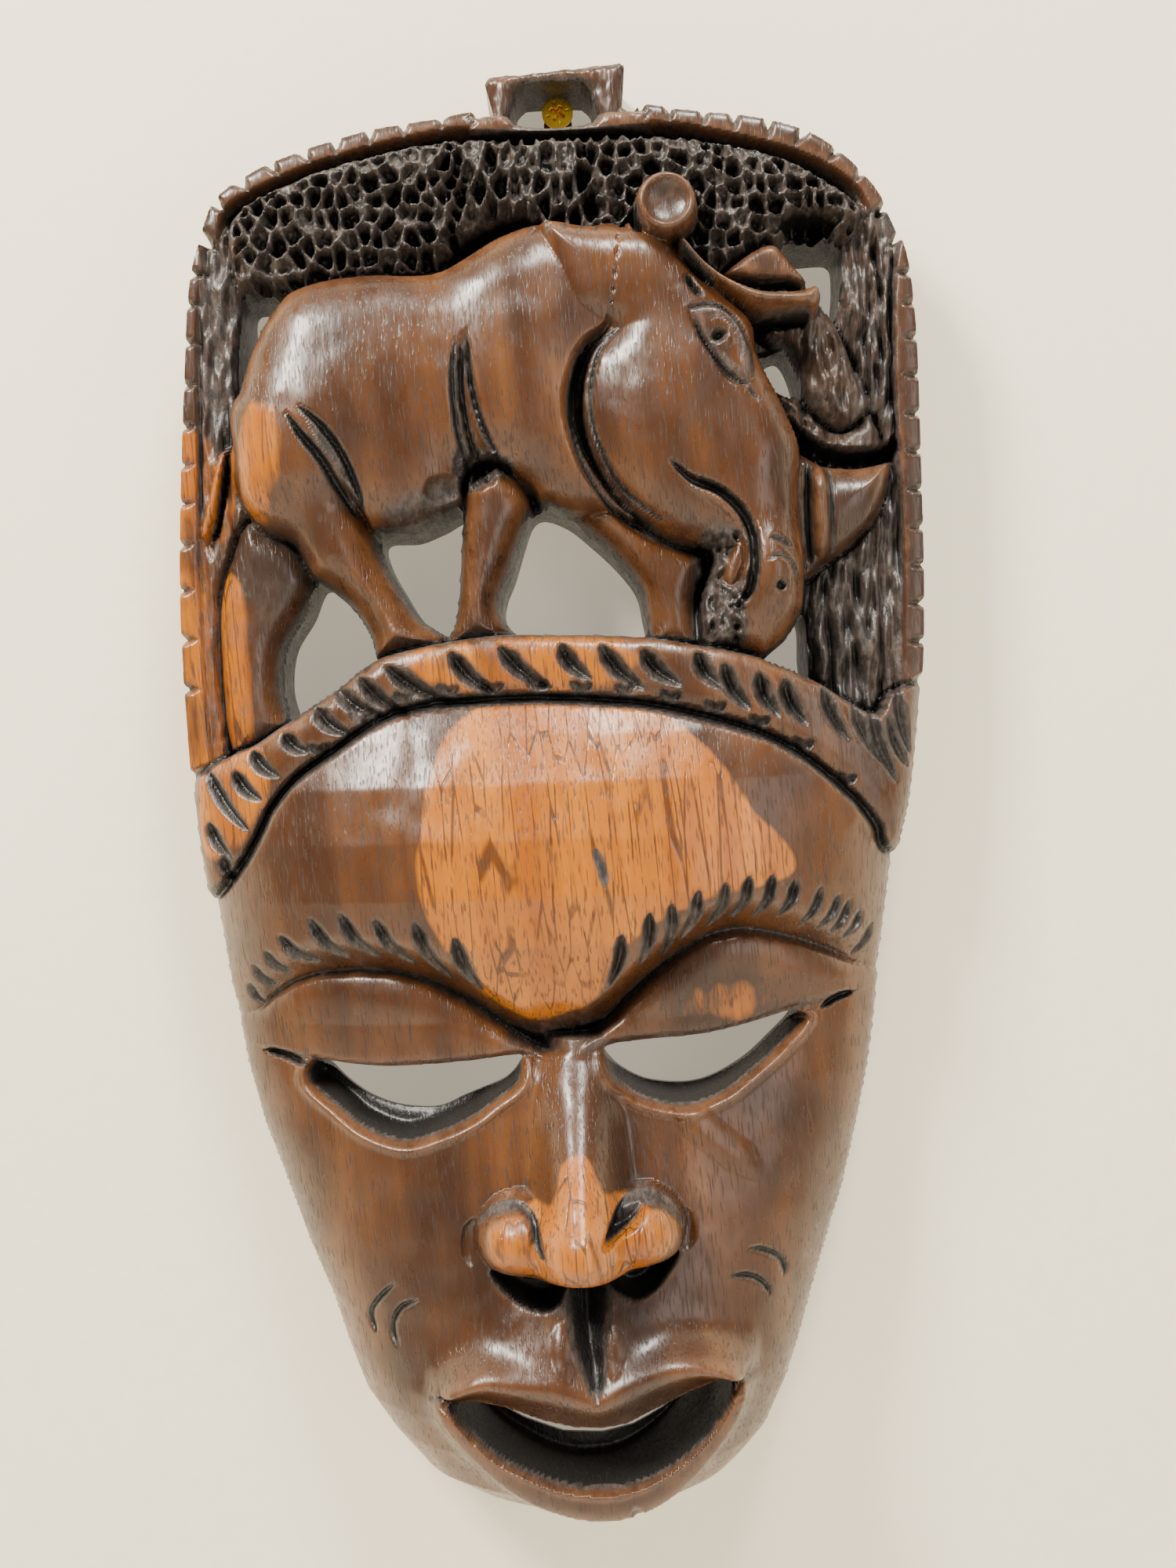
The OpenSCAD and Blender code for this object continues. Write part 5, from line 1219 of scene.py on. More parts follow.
@dataclass(frozen=True)
class HandRubbedHardwood:
    """Dense tropical hardwood in one block, carved with gouges, stained black in the cuts and rubbed with wax.

    Red-brown heartwood meets golden sapwood along crisp wavy borders. Fine open pores run along the block and show as
    short dark dashes; drying cracks run the same way. The wax gives soft, slightly broken highlights. The black stain
    colours also paint shade in hollows and openings, and the rubbed colour also paints highlight on rims and ridges.
    """

    heart: str = "4c2b13"
    heart_light: str = "6b4322"
    heart_dark: str = "2e1a0e"
    sap: str = "9a5208"
    sap_light: str = "bc7014"
    stain: str = "2f2a27"
    stain_brown: str = "564b45"
    # Near black for the heaviest stain: black stain in the deepest cuts, and painted shade in cavities and openings.
    hollow: str = "110e0c"
    # Lighter colour for rubbed spots and for painted highlight on rims and ridges.
    worn_and_highlight: str = "7d5334"
    shade: str = "33261f"
    pore: str = "2c1a10"
    roughness: float = 0.3
    streak_mm: float = 8.0
    pore_mm: float = 0.5
    crack_mm: float = 3.6

    def make(self) -> bpy.types.Material:
        """Builds the material; lengths of its patterns are in millimetres of wood."""
        material = bpy.data.materials.new("hand_rubbed_hardwood")
        material.use_nodes = True
        tree = material.node_tree
        tree.nodes.clear()
        place = add_node(tree, "ShaderNodeTexCoord").outputs["Object"]
        painted = add_node(tree, "ShaderNodeAttribute", attribute_name="paint")
        split = add_node(tree, "ShaderNodeSeparateColor", {"Color": painted.outputs["Color"]})
        stain_and_shade_paint, sap_paint, worn_and_highlight_paint = (split.outputs[k] for k in range(3))
        dark_paint = painted.outputs["Alpha"]

        def stretched(x: float, z: float) -> bpy.types.NodeSocket:
            """Object coordinates with features x mm wide and z mm long, leaning a little off upright."""
            lean = add_node(tree, "ShaderNodeMapping", {"Vector": place, "Rotation": (0, math.radians(4), 0)})
            return add_node(tree, "ShaderNodeMapping", {
                "Vector": lean.outputs[0], "Scale": (1 / (x * MM), 0.4 / (x * MM), 1 / (z * MM))}).outputs[0]

        def noise(x: float, z: float, detail: float = 3, rough: float = 0.55) -> bpy.types.NodeSocket:
            """Noise whose blobs are about x by z mm."""
            return add_node(tree, "ShaderNodeTexNoise", {
                "Vector": stretched(x, z), "Scale": 1.0, "Detail": detail, "Roughness": rough}).outputs["Fac"]

        def window(value: bpy.types.NodeSocket, low: float, high: float, top: float = 1.0) -> bpy.types.NodeSocket:
            """Goes from 0 to top as value goes from low to high."""
            return add_node(tree, "ShaderNodeMapRange", {
                "Value": value, "From Min": low, "From Max": high, "To Min": 0.0, "To Max": top}).outputs[0]

        def maths(kind: str, a: object, b: object = 0.0, clamp: bool = False) -> bpy.types.NodeSocket:
            """One sum of two values."""
            return add_node(tree, "ShaderNodeMath", {0: a, 1: b}, operation=kind, use_clamp=clamp).outputs[0]

        def lay(below: object, above: object, share: object, how: Blend = Blend.OVER) -> bpy.types.NodeSocket:
            """Lays a colour on another by a share."""
            node = add_node(tree, "ShaderNodeMix", {0: share}, data_type="RGBA", blend_type=how.value)
            for socket, value in ((node.inputs[6], below), (node.inputs[7], above)):
                if isinstance(value, bpy.types.NodeSocket):
                    tree.links.new(value, socket)
                else:
                    socket.default_value = value
            return node.outputs[2]

        streaks = noise(self.streak_mm, self.streak_mm * 16)
        fine = noise(1.1, 22, 2)
        mottle = noise(24, 40, 2)
        grime = noise(3.5, 5, 4, 0.65)
        heart = lay(linear(self.heart), linear(self.heart_light), window(streaks, 0.35, 0.75))
        heart = lay(heart, linear(self.heart_dark), window(mottle, 0.4, 0.66, 0.85))
        heart = lay(heart, linear(self.heart_dark), window(fine, 0.55, 0.8, 0.4))
        # Darker tone where the dark channel is painted; on the upper lip's underside it is painted shade.
        heart = lay(heart, linear(self.shade), maths("MULTIPLY", dark_paint, 0.82, clamp=True))
        sap = lay(linear(self.sap), linear(self.sap_light), window(streaks, 0.35, 0.7))
        sap = lay(sap, linear(self.heart), window(fine, 0.6, 0.85, 0.35))
        border = maths("ADD", sap_paint, maths("MULTIPLY", maths("SUBTRACT", noise(9, 36), 0.5), 0.9))
        colour = lay(heart, sap, window(border, 0.4, 0.6))
        smoked = window(grime, 0.42, 0.75, 0.3)
        colour = lay(colour, linear(self.heart_dark), maths("MULTIPLY", smoked, window(sap_paint, 0.9, 0.2)))
        pores = window(noise(self.pore_mm, self.pore_mm * 10, 1, 0.4), 0.58, 0.68)
        colour = lay(colour, linear(self.pore), maths("MULTIPLY", pores, 0.62))
        cracks = add_node(tree, "ShaderNodeTexVoronoi", {
            "Vector": stretched(self.crack_mm,
                                self.crack_mm * 26), "Scale": 1.0, "Randomness": 0.8}, feature="DISTANCE_TO_EDGE")
        crack = maths("MULTIPLY", window(cracks.outputs["Distance"], 0.045, 0.02), window(noise(9, 14), 0.38, 0.5))
        crack = maths("MULTIPLY", crack, window(sap_paint, 0.2, 0.8, 0.75))
        colour = lay(colour, linear(self.pore), crack)
        # Rubbing and painted highlight, broken up by noise.
        colour = lay(colour, linear(self.worn_and_highlight), maths("MULTIPLY", worn_and_highlight_paint, window(grime, 0.3, 0.6, 0.75)))
        # The stain channel also carries painted shade, so this stain mix paints shade in hollows too.
        spread = maths("ADD", stain_and_shade_paint, maths("MULTIPLY", maths("SUBTRACT", grime, 0.5), 0.55))
        stained = window(spread, 0.28, 0.78)
        black = lay(linear(self.stain), linear(self.stain_brown), window(noise(1.6, 3, 3), 0.4, 0.7))
        # Near black where the stain channel is heaviest: deep black stain, and painted shade.
        black = lay(black, linear(self.hollow), window(stain_and_shade_paint, 0.86, 0.97))
        colour = lay(colour, black, stained)
        gloss = maths("ADD", window(grime, 0.3, 0.7, 0.16), maths("MULTIPLY", stained, 0.1))
        roughness = maths("ADD", maths("ADD", gloss, maths("MULTIPLY", pores, 0.2)), self.roughness - 0.06, clamp=True)
        height = maths("ADD", maths("MULTIPLY", pores, -0.5), maths("MULTIPLY", crack, -1.0))
        height = maths("ADD", height, maths("MULTIPLY", noise(2.5, 9, 3), 0.8))
        height = maths("ADD", height, maths("MULTIPLY", maths("MULTIPLY", noise(0.9, 1.4, 3), stained), 1.6))
        bump = add_node(tree, "ShaderNodeBump", {"Height": height, "Strength": 0.5, "Distance": 0.00035})
        shader = add_node(tree, "ShaderNodeBsdfPrincipled", {
            "Base Color": colour, "Roughness": roughness, "Normal": bump.outputs[0], "IOR": 1.5,
            "Coat Weight": 0.12, "Coat Roughness": 0.2})
        add_node(tree, "ShaderNodeOutputMaterial", {"Surface": shader.outputs[0]})
        return material


@dataclass(frozen=True)
class YellowZincSteel:
    """Pressed steel plated with zinc and passivated yellow: golden, with fine rubbed scratches and dull hollows."""

    plate: str = "ffd23c"
    tint: str = "e0ab34"
    roughness: float = 0.3

    def make(self) -> bpy.types.Material:
        """Builds the material."""
        material = bpy.data.materials.new("yellow_zinc_steel")
        material.use_nodes = True
        tree = material.node_tree
        tree.nodes.clear()
        place = add_node(tree, "ShaderNodeTexCoord").outputs["Object"]
        clouds = add_node(tree, "ShaderNodeTexNoise", {"Vector": place, "Scale": 900.0, "Detail": 4.0})
        mix = add_node(tree, "ShaderNodeMix", {0: clouds.outputs["Fac"], 6: linear(self.plate), 7: linear(self.tint)},
                       data_type="RGBA")
        rough = add_node(tree, "ShaderNodeMapRange", {"Value": clouds.outputs["Fac"], "From Min": 0.3, "From Max": 0.7,
                                                      "To Min": self.roughness - 0.08, "To Max": self.roughness + 0.12})
        bump = add_node(tree, "ShaderNodeBump", {"Height": clouds.outputs["Fac"], "Strength": 0.3,
                                                 "Distance": 0.00005})
        shader = add_node(tree, "ShaderNodeBsdfPrincipled", {
            "Base Color": mix.outputs[2], "Metallic": 1.0, "Roughness": rough.outputs[0], "Normal": bump.outputs[0]})
        add_node(tree, "ShaderNodeOutputMaterial", {"Surface": shader.outputs[0]})
        return material


@dataclass(frozen=True)
class MattePlainFinish:
    """A plain matt finish with a fine grain, for moulded nylon and for painted plaster."""

    name: str
    colour: str
    shade: str
    grain_mm: float
    roughness: float
    relief_mm: float

    def make(self) -> bpy.types.Material:
        """Builds the material."""
        material = bpy.data.materials.new(self.name)
        material.use_nodes = True
        tree = material.node_tree
        tree.nodes.clear()
        place = add_node(tree, "ShaderNodeTexCoord").outputs["Object"]
        grain = add_node(tree, "ShaderNodeTexNoise", {"Vector": place, "Scale": 1 / (self.grain_mm * MM),
                                                      "Detail": 4.0})
        mix = add_node(tree, "ShaderNodeMix", {0: grain.outputs["Fac"], 6: linear(self.colour), 7: linear(self.shade)},
                       data_type="RGBA")
        rough = add_node(tree, "ShaderNodeMapRange", {"Value": grain.outputs["Fac"], "To Min": self.roughness - 0.05,
                                                      "To Max": self.roughness + 0.05})
        bump = add_node(tree, "ShaderNodeBump", {"Height": grain.outputs["Fac"], "Strength": 0.4,
                                                 "Distance": self.relief_mm * MM})
        shader = add_node(tree, "ShaderNodeBsdfPrincipled", {
            "Base Color": mix.outputs[2], "Roughness": rough.outputs[0], "Normal": bump.outputs[0]})
        add_node(tree, "ShaderNodeOutputMaterial", {"Surface": shader.outputs[0]})
        return material


# ---------------------------------------------------------------- the carving and what it hangs from


@dataclass
class Carving:
    """The whole carved block: the relief, the openings through it and its pieces."""

    fine_step: float = 0.6
    quick_step: float = 1.2
    lug_h: float = 24.0
    finish: HandRubbedHardwood = HandRubbedHardwood()

    def outline(self) -> np.ndarray:
        """The carving's outline: its sides, chin and top edge."""
        left, right = smooth(LEFT_EDGE[::-1])[::-1], smooth(RIGHT_EDGE)
        chin = smooth([LEFT_EDGE[-1], *CHIN_POINT, RIGHT_EDGE[0]])
        top = smooth(TOP_EDGE)
        return np.vstack([left, chin[1:-1], right, top])

    def build(self) -> dict[str, bpy.types.Object]:
        """Carves the relief and saws it into pieces."""
        relief = Relief(self.fine_step)
        path = self.outline()
        relief.inside = depth_inside(relief.x, relief.z, path)
        crest, braid, face = CrestCarver(), BraidCarver(), FaceCarver()
        crest.carve(relief)
        face.carve(relief)
        braid.carve(relief, face.across(relief))
        self.notch_rim(relief)
        self.back_of_crest(relief)
        self.open_through(relief)
        self.shape_lug(relief)
        self.paint_hollow_shade_and_wear(relief)
        return Sawyer().saw(relief)

    def notch_rim(self, relief: Relief) -> None:
        """Cuts the V notches that leave a row of teeth all along the rim and down both posts."""
        left = [
            (-21, -5), (-30.5, -6.5), (-40.5, -7.8), (-49.5, -9.3), (-58.5, -11.5), (-67, -14), (-75.5, -17.2),
            (-83.5, -21.5), (-90, -27), (-94, -36), (-97, -45), (-98.5, -53), (-99.3, -63), (-100.2, -74),
            (-101, -85), (-101.8, -95), (-102.2, -105), (-102.6, -116), (-102.8, -128), (-102.8, -141),
            (-102.4, -154)]
        right = [
            (22, -4.6), (29.5, -5.8), (38.5, -7), (46.5, -8.2), (55.5, -10), (64.5, -13.2), (73, -18.2), (79.5, -24),
            (85.5, -33), (89, -41), (91, -51), (91.8, -59), (92, -68), (92, -78), (92, -88), (92, -98), (92, -108),
            (91.8, -118), (91.6, -128), (91.2, -138), (90.8, -148)]
        for row, (width, depth) in ((left, (2.4, 1.9)), (right, (2.0, 1.9))):
            for k, (x, z) in enumerate(row):
                inward = np.array([-6.0 - x, -120.0 - z])
                inward = np.array([0.0, -1.0]) if abs(x) < 60 else inward / np.linalg.norm(inward)
                if k > 9:
                    inward = np.array([-math.copysign(1, x), 0.0])
                side = np.array([-inward[1], inward[0]])
                tip = np.array([x, z]) + inward * depth * (0.75 + 0.25 * math.sin(5.1 * k)) * (0.35 if k > 9 else 1.0)
                wide = width * (0.85 + 0.3 * math.sin(3.7 * k + 1))
                lip = np.array([x, z]) - inward * 1.5
                notch = np.array([lip - side * wide, tip, lip + side * wide])
                at, depth_in = relief.within(notch, 4)
                relief.inside[at] = np.minimum(relief.inside[at], -depth_in)
                relief.groove([tuple(np.array([x, z]) - inward), tuple(tip + inward * 3.2)], 3.4, 2.6, 0.5, 0.02, 0.9,
                              sharp=True)

    def back_of_crest(self, relief: Relief) -> None:
        """The crest lies flat on the wall, but for the buffalo's back, which stands a little off it."""
        path = smooth([
            (-80, -58), (-30, -50), (14, -42), (46, -64), (56, -100), (52, -140), (20, -116), (-30, -106),
            (-76, -110)], closed=True)
        at, depth = relief.within(path, 1)
        relief.back[at] = np.maximum(relief.back[at], 5 * ease(depth / 4))

    def open_through(self, relief: Relief) -> None:
        """Opens the crest's gaps, the eyes and the mouth, with rounded, stained edges, and a painted highlight along
        each eye's lower rim.
        """
        for outline in GAPS.values():
            path = relief.open_up(outline)
            at, depth = relief.within(path, 5)
            relief.front[at] -= 1.6 * np.exp(-np.clip(-depth, 0, 9) / 1.2)
            relief.add_paint(Paint.STAIN_AND_SHADE, at, 0.9 * ease((depth + 2.2) / 2))
        left = [
            (-72, -251), (-62, -252.2), (-50, -252.8), (-32, -251.8), (-18, -250.5), (-18.5, -254), (-22, -257.5),
            (-28, -260), (-33, -262), (-38, -264.3), (-43, -265), (-51, -264.3), (-58, -262), (-64, -258.3),
            (-68, -254.8)]
        right = [
            (4, -249.2), (14, -247.8), (28, -247.2), (40, -245.3), (53, -242.5), (53, -245), (48, -249.5), (41, -255),
            (33, -259), (26, -260.6), (18, -260), (12, -258.2), (6, -254)]
        rims = ((left, [
            (-74.5, -257.5), (-66.5, -264.5), (-58.5, -270), (-48, -273), (-38, -270.5), (-30, -267), (-24, -263),
            (-17, -257.5)]), (right, [(4, -256), (8, -260.5), (14, -264), (24, -266), (34, -263.5), (42, -258.5),
            (50, -252.5), (57, -245.5)]))
        for hole, rim in rims:
            lip = smooth([*hole[:5], *reversed(rim)], closed=True)
            at, depth = relief.within(lip, 6)
            below = relief.z[at] < table([tuple(p) for p in smooth(hole[:5])], relief.x[at]) - 0.6
            sunk = relief.back[at] + 3 + (relief.front[at] - relief.back[at] - 3) * (1 - ease(depth / 5.5)) ** 1.6
            relief.front[at] = np.where((depth > 0) & below, np.minimum(relief.front[at], sunk), relief.front[at])
            relief.add_paint(Paint.STAIN_AND_SHADE, at, np.where(below, 1.3 * ease((depth - 0.5) / 1.6), 0))
            edge = np.exp(-((depth + 0.8) / 1.1) ** 2) * below
            relief.front[at] += 0.9 * edge
            # A lighter line along each eye's lower rim: painted highlight.
            relief.add_paint(Paint.WEAR_AND_HIGHLIGHT, at, 0.25 * edge)
            path = relief.open_up(hole)
            at, depth = relief.within(path, 3)
            relief.add_paint(Paint.STAIN_AND_SHADE, at, 0.6 * ease((depth + 1.2) / 1.2))
        relief.open_up(between(MOUTH_TOP, MOUTH_SILL), curved=False)

    def shape_lug(self, relief: Relief) -> None:
        """The hanging lug: a plain block with a tunnel right through it for the screw."""
        outline = np.array([
            (-19, 4.4), (-17.6, 6.0), (-9, 6.6), (0, 7.2), (10, 8.0), (17.2, 8.6), (18.2, 7.6), (17.2, -3),
            (19.4, -5), (20, -9.6), (-20, -9.6), (-19.6, -6), (-17, -4)])
        at, depth = relief.within(outline, 8)
        relief.inside[at] = np.maximum(relief.inside[at], depth)
        block = relief.z[at] > -8.0
        roof = self.lug_h - 0.8 * np.exp(-np.clip(depth, 0, 9) / 1.0)
        over = ease((depth + 1.8) / 0.8) * block
        relief.front[at] += over * (roof - relief.front[at])
        relief.paint[Paint.STAIN_AND_SHADE][at] *= 1 - over
        relief.add_paint(Paint.DARK, at, 0.75 * over)
        relief.mound([(-22, -8.4), (-20, -6.2), (20, -6.2), (23, -8.4), (20, -11), (-20, -11)], self.lug_h + 4, 1.5,
            2, 1.0)
        hole = smooth(TUNNEL, closed=True, per=4)
        near = relief.near(hole, 6)
        gap = depth_inside(relief.x[near], relief.z[near], hole)
        relief.inside[near] = np.minimum(relief.inside[near], -gap)
        relief.front[near] -= 1.4 * np.exp(-np.clip(-gap, 0, 9) / 1.1)
        # Dark round and in the tunnel: stain, and painted shade inside it.
        relief.add_paint(Paint.STAIN_AND_SHADE, near, 0.9 * ease((gap + 1.6) / 1.4))
        # A lighter strip along the lug's top face, where light from above falls: painted highlight.
        relief.tint(Paint.WEAR_AND_HIGHLIGHT, [(-15, 5), (0, 6), (14, 7), (14, 5), (0, 4.6), (-14, 3.6)], 0.6, 2)
        relief.rough([(-18, -9), (-18, 6), (17, 8), (17, -9)], (1.6, 3.6), 0.35, 51)

    def paint_hollow_shade_and_wear(self, relief: Relief) -> None:
        """Paints shade into what lies in hollows, and lightens what stands out as rubbing and painted highlight, both
        from the relief less its own blur.
        """
        near = blurred(relief.front, 2.2 / relief.step) - relief.front
        wide = blurred(relief.front, 6.0 / relief.step) - relief.front
        everywhere = (slice(None), slice(None))
        # A patch at the right, over the bark and the braid's end, is darkened.
        relief.tint(Paint.STAIN_AND_SHADE, [(54, -150), (88, -140), (92, -200), (78, -200), (66, -176), (54, -166)], 0.42, 7)
        # Painted shade: the stain channel rises where the relief lies below its blur, in cuts and hollows.
        relief.paint[Paint.STAIN_AND_SHADE] = np.clip(relief.paint[Paint.STAIN_AND_SHADE] + 0.35 * ease((near - 0.7) / 2.2)
                                            + 0.25 * ease((wide - 2.5) / 5), 0, 1)
        # Lighter where the relief stands above its blur: rubbing, and painted highlight.
        relief.add_paint(Paint.WEAR_AND_HIGHLIGHT, everywhere, 0.6 * ease((-near - 0.45) / 1.4))
        noise = np.random.default_rng(77).normal(size=relief.front.shape)
        chips = blurred(noise, 2.4 / relief.step)
        relief.front += 0.09 * chips / chips.std()
        at_edge = np.exp(-np.clip(relief.inside, 0, 20) / 1.1)
        relief.front -= 1.1 * at_edge * (relief.z < 12)

    def dress(self, pieces: dict[str, bpy.types.Object]) -> None:
        """Gives each piece the wood finish and its place in the assembly."""
        wood = self.finish.make()
        for node, piece in pieces.items():
            piece.data.materials.append(wood)
            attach(piece, "mask")
            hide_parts(node)
            LOG.info("%s: %d faces", piece.name, len(piece.data.polygons))


@dataclass
class WallFixing:
    """The countersunk screw that the lug's tunnel drops over, and the plug in the wall."""

    head_r: float = 4.2
    head_y: float = -11.0
    head_rim: float = 0.5
    cone: float = 3.2
    neck_r: float = 1.5
    thread_r: float = 2.1
    pitch: float = 1.8
    tip_y: float = 34.0
    recess_r: float = 2.3
    recess_w: float = 0.55
    recess_depth: float = 1.7
    around: int = 96
    finish: YellowZincSteel = YellowZincSteel()

    def radius(self, s: np.ndarray) -> np.ndarray:
        """Radius at a distance s behind the head's face: rim, cone, plain neck, then a V thread."""
        cone = self.head_r + (self.neck_r - self.head_r) * ease((s - self.head_rim) / self.cone) ** 0.8
        phase = np.abs(((s / self.pitch) % 1) - 0.5) * 2
        thread = self.neck_r + (self.thread_r - self.neck_r) * np.clip(1.6 * phase - 0.5, 0, 1)
        start, end = 12.0, self.tip_y - self.head_y
        shank = np.where(s < start, self.neck_r, thread) * np.clip((end - s) / 5, 0.02, 1)
        return np.where(s < self.head_rim + self.cone, cone, shank)

    def build(self) -> bpy.types.Object:
        """Turns the shank's profile round its axis, and closes it with a domed face that holds a cross recess.

        The face is a grid of rings: at radius r the face lies 0.25 * (1 - (r / R)^2) proud, less the recess, which is
        the depth times how far a point lies inside a cross of two bars.
        """
        turn = np.linspace(0, 2 * math.pi, self.around, endpoint=False)
        rings = np.linspace(0, 1, 42)[1:] * self.head_r
        r, a = np.meshgrid(rings, turn, indexing="ij")
        u, v = r * np.cos(a + 0.5), r * np.sin(a + 0.5)
        taper = np.clip(1 - r / self.recess_r, 0, 1)
        bar = np.maximum(1 - np.abs(u) / self.recess_w, 1 - np.abs(v) / self.recess_w)
        core = np.clip(1.1 - r / 1.0, 0, 1)
        cut = self.recess_depth * np.maximum(ease(bar * 2.2) * ease(taper * 2.4), core)
        ticks = 0.25 * ease(1 - np.abs(np.abs(u) - np.abs(v)) / 0.25) * ease((r - 2.2) / 0.3) * ease((3.4 - r) / 0.3)
        y = self.head_y - 0.25 * (1 - (r / self.head_r) ** 2) + cut + ticks
        s = np.concatenate([np.linspace(0.1, self.head_rim + self.cone, 14), np.linspace(4.2, self.tip_y - self.head_y,
                                                                                         260)])
        far_r, far_a = np.meshgrid(self.radius(s), turn, indexing="ij")
        far_y = np.repeat((self.head_y + s)[:, None], self.around, 1)
        grid = np.concatenate([np.stack([r * np.cos(a), y, r * np.sin(a)], -1),
                               np.stack([far_r * np.cos(far_a), far_y, far_r * np.sin(far_a)], -1)])
        rows = len(grid)
        centre = [0.0, self.head_y - 0.25 + self.recess_depth, 0.0]
        points = np.vstack([grid.reshape(-1, 3), centre, [0.0, self.tip_y, 0.0]])
        j, i = np.meshgrid(np.arange(rows - 1), np.arange(self.around), indexing="ij")
        i2 = (i + 1) % self.around
        quads = np.stack([j * self.around + i, (j + 1) * self.around + i, (j + 1) * self.around + i2,
                          j * self.around + i2], -1)
        hub, tip, last = rows * self.around, rows * self.around + 1, (rows - 1) * self.around
        k = np.arange(self.around)
        cap = np.stack([np.full_like(k, hub), k, (k + 1) % self.around], 1)
        end = np.stack([np.full_like(k, tip), last + (k + 1) % self.around, last + k], 1)
        mesh = bpy.data.meshes.new("screw")
        mesh.from_pydata((points * MM).tolist(), [], [*quads.reshape(-1, 4).tolist(), *cap.tolist(), *end.tolist()])
        mesh.update()
        mesh.polygons.foreach_set("use_smooth", np.ones(len(mesh.polygons), bool))
        screw = bpy.data.objects.new("screw", mesh)
        bpy.context.collection.objects.link(screw)
        return screw

    def dress(self, screw: bpy.types.Object) -> None:
        """Plates the screw, and gives the plug its moulded finish."""
        screw.data.materials.append(self.finish.make())
        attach(screw, "wall_screw")
        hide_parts("wall_screw")
        nylon = MattePlainFinish("moulded_nylon", "a4583a", "96503a", 0.6, 0.5, 0.04).make()
        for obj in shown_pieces():
            if obj.name == "wall_plug":
                obj.data.materials.clear()
                obj.data.materials.append(nylon)
        LOG.info("%s: %d faces", screw.name, len(screw.data.polygons))


# ---------------------------------------------------------------- the wall, the lights and the camera


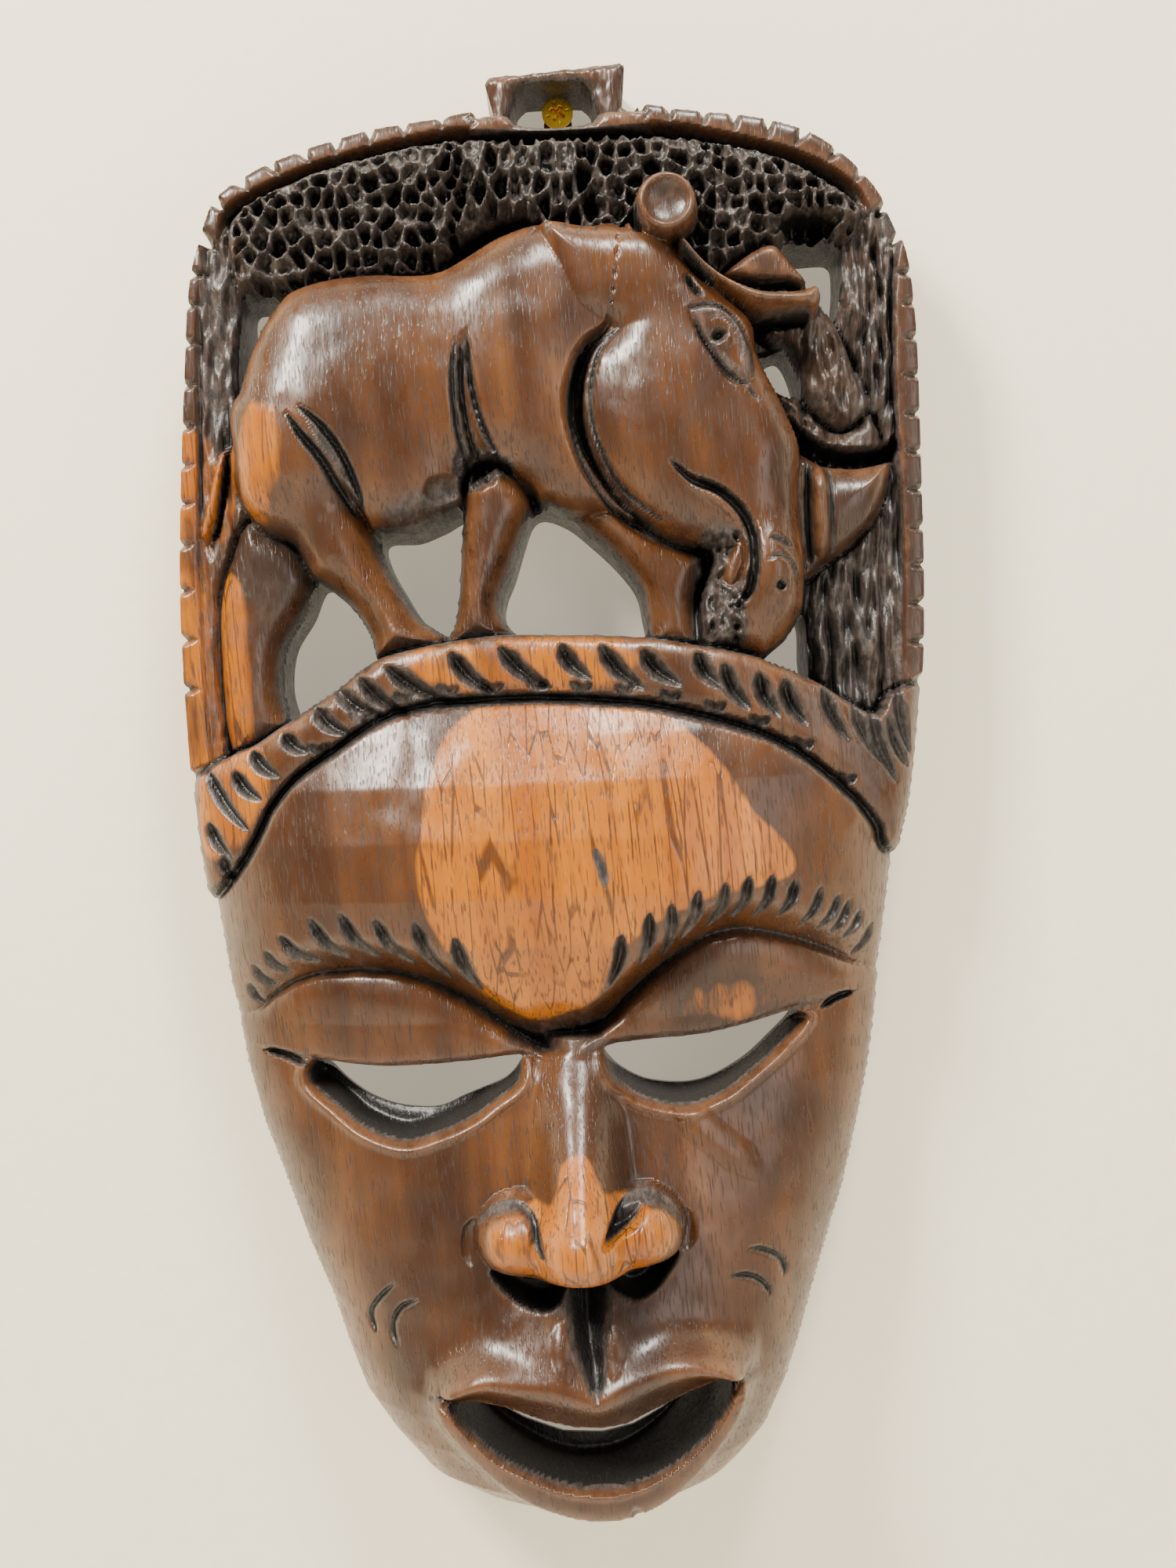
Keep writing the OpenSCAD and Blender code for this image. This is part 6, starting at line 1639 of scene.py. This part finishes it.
@dataclass
class Studio:
    """A painted wall behind the carving, a pale floor, soft lights and the camera."""

    eye: tuple[float, float, float] = (1.96, -520.0, -182.5)
    roll: float = 2.0
    lens: float = 43.0
    wall_gap: float = 0.6
    wall_glow: float = 0.4
    wall_size: float = 3000.0
    floor_z: float = -750.0

    def place_camera(self) -> None:
        """Sets the camera square to the wall, rolled a little."""
        data = bpy.data.cameras.new("camera")
        data.lens, data.sensor_width = self.lens, 36.0
        data.clip_start, data.clip_end = 0.02, 20
        camera = bpy.data.objects.new("camera", data)
        bpy.context.collection.objects.link(camera)
        c, s = math.cos(math.radians(self.roll)), math.sin(math.radians(self.roll))
        axes = Matrix(((c, s, 0), (0, 0, -1), (-s, c, 0))).to_4x4()
        camera.matrix_world = Matrix.Translation(Vector(self.eye) * MM) @ axes
        bpy.context.scene.camera = camera

    def sheet(self, name: str, corners: list[tuple[float, float, float]]) -> bpy.types.Object:
        """A flat four-cornered backdrop through corners in mm."""
        mesh = bpy.data.meshes.new(name)
        mesh.from_pydata([tuple(MM * v for v in p) for p in corners], [], [(0, 1, 2, 3)])
        sheet = bpy.data.objects.new(name, mesh)
        bpy.context.collection.objects.link(sheet)
        sheet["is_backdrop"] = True
        return sheet

    def build(self) -> None:
        """Hangs the wall and lays the floor."""
        w, y = self.wall_size, self.wall_gap
        wall = self.sheet("wall", [(-w, y, self.floor_z), (w, y, self.floor_z), (w, y, w), (-w, y, w)])
        floor = self.sheet("floor", [(-w, -w, self.floor_z), (w, -w, self.floor_z), (w, w, self.floor_z),
                                     (-w, w, self.floor_z)])
        plaster = MattePlainFinish("painted_plaster", "f3e8cf", "eee0c4", 5.0, 0.75, 0.45).make()
        floor.data.materials.append(MattePlainFinish("pale_board", "e8e4da", "e2ddd2", 9.0, 0.6, 0.1).make())
        shader = next(n for n in plaster.node_tree.nodes if n.bl_idname == "ShaderNodeBsdfPrincipled")
        # The wall glows by emission, lighting its own shaded parts seen through the eyes and gaps: painted light.
        shader.inputs["Emission Color"].default_value = (1.0, 0.9, 0.72, 1)
        shader.inputs["Emission Strength"].default_value = self.wall_glow
        self.one_sided(plaster)
        wall.data.materials.append(plaster)
        wall.visible_shadow = False

    @staticmethod
    def one_sided(material: bpy.types.Material) -> None:
        """Makes a backdrop clear from behind, so that the carving's back can be seen."""
        tree = material.node_tree
        output = next(n for n in tree.nodes if n.bl_idname == "ShaderNodeOutputMaterial")
        surface = output.inputs["Surface"].links[0].from_socket
        facing = add_node(tree, "ShaderNodeNewGeometry")
        clear = add_node(tree, "ShaderNodeBsdfTransparent")
        mix = add_node(tree, "ShaderNodeMixShader", {0: facing.outputs["Backfacing"], 1: surface, 2: clear.outputs[0]})
        tree.links.new(mix.outputs[0], output.inputs["Surface"])

    def light(self) -> None:
        """A soft key from the upper left, a strip overhead, a weak fill and a pale surround."""
        for name, spot, aim, size, power, colour in (("key", (-650, -720, 680), (0, 0, -180), 0.34, 34,
                (1.0, 0.95, 0.86)), ("overhead", (250, -700, 1000), (0, 0, -150), 0.3, 22, (1.0, 0.96, 0.9)), ("fill",
                (1100, -1200, -100), (0, 0, -200), 1.0, 9, (1.0, 0.96, 0.9)), ("back_fill", (400, 1200, 500),
                (0, 0, -180), 1.5, 14, (1.0, 0.98, 0.96))):
            data = bpy.data.lights.new(name, "AREA")
            data.shape, data.size, data.energy, data.color = "SQUARE", size, power, colour
            lamp = bpy.data.objects.new(name, data)
            bpy.context.collection.objects.link(lamp)
            lamp.location = Vector(spot) * MM
            lamp.rotation_euler = (Vector(aim) - Vector(spot)).to_track_quat("-Z", "Y").to_euler()
        world = bpy.data.worlds.new("surround")
        world.use_nodes = True
        world.node_tree.nodes["Background"].inputs["Color"].default_value = (1.0, 0.97, 0.92, 1)
        world.node_tree.nodes["Background"].inputs["Strength"].default_value = 0.28
        bpy.context.scene.world = world


def main() -> None:
    """Builds the camera, the carving, its fixing and the studio, in that order."""
    logging.basicConfig(level=logging.INFO, format="%(name)s %(message)s")
    studio, carving, fixing = Studio(), Carving(), WallFixing()
    studio.place_camera()
    carving.dress(carving.build())
    fixing.dress(fixing.build())
    studio.build()
    studio.light()


if __name__ == "__main__":
    main()
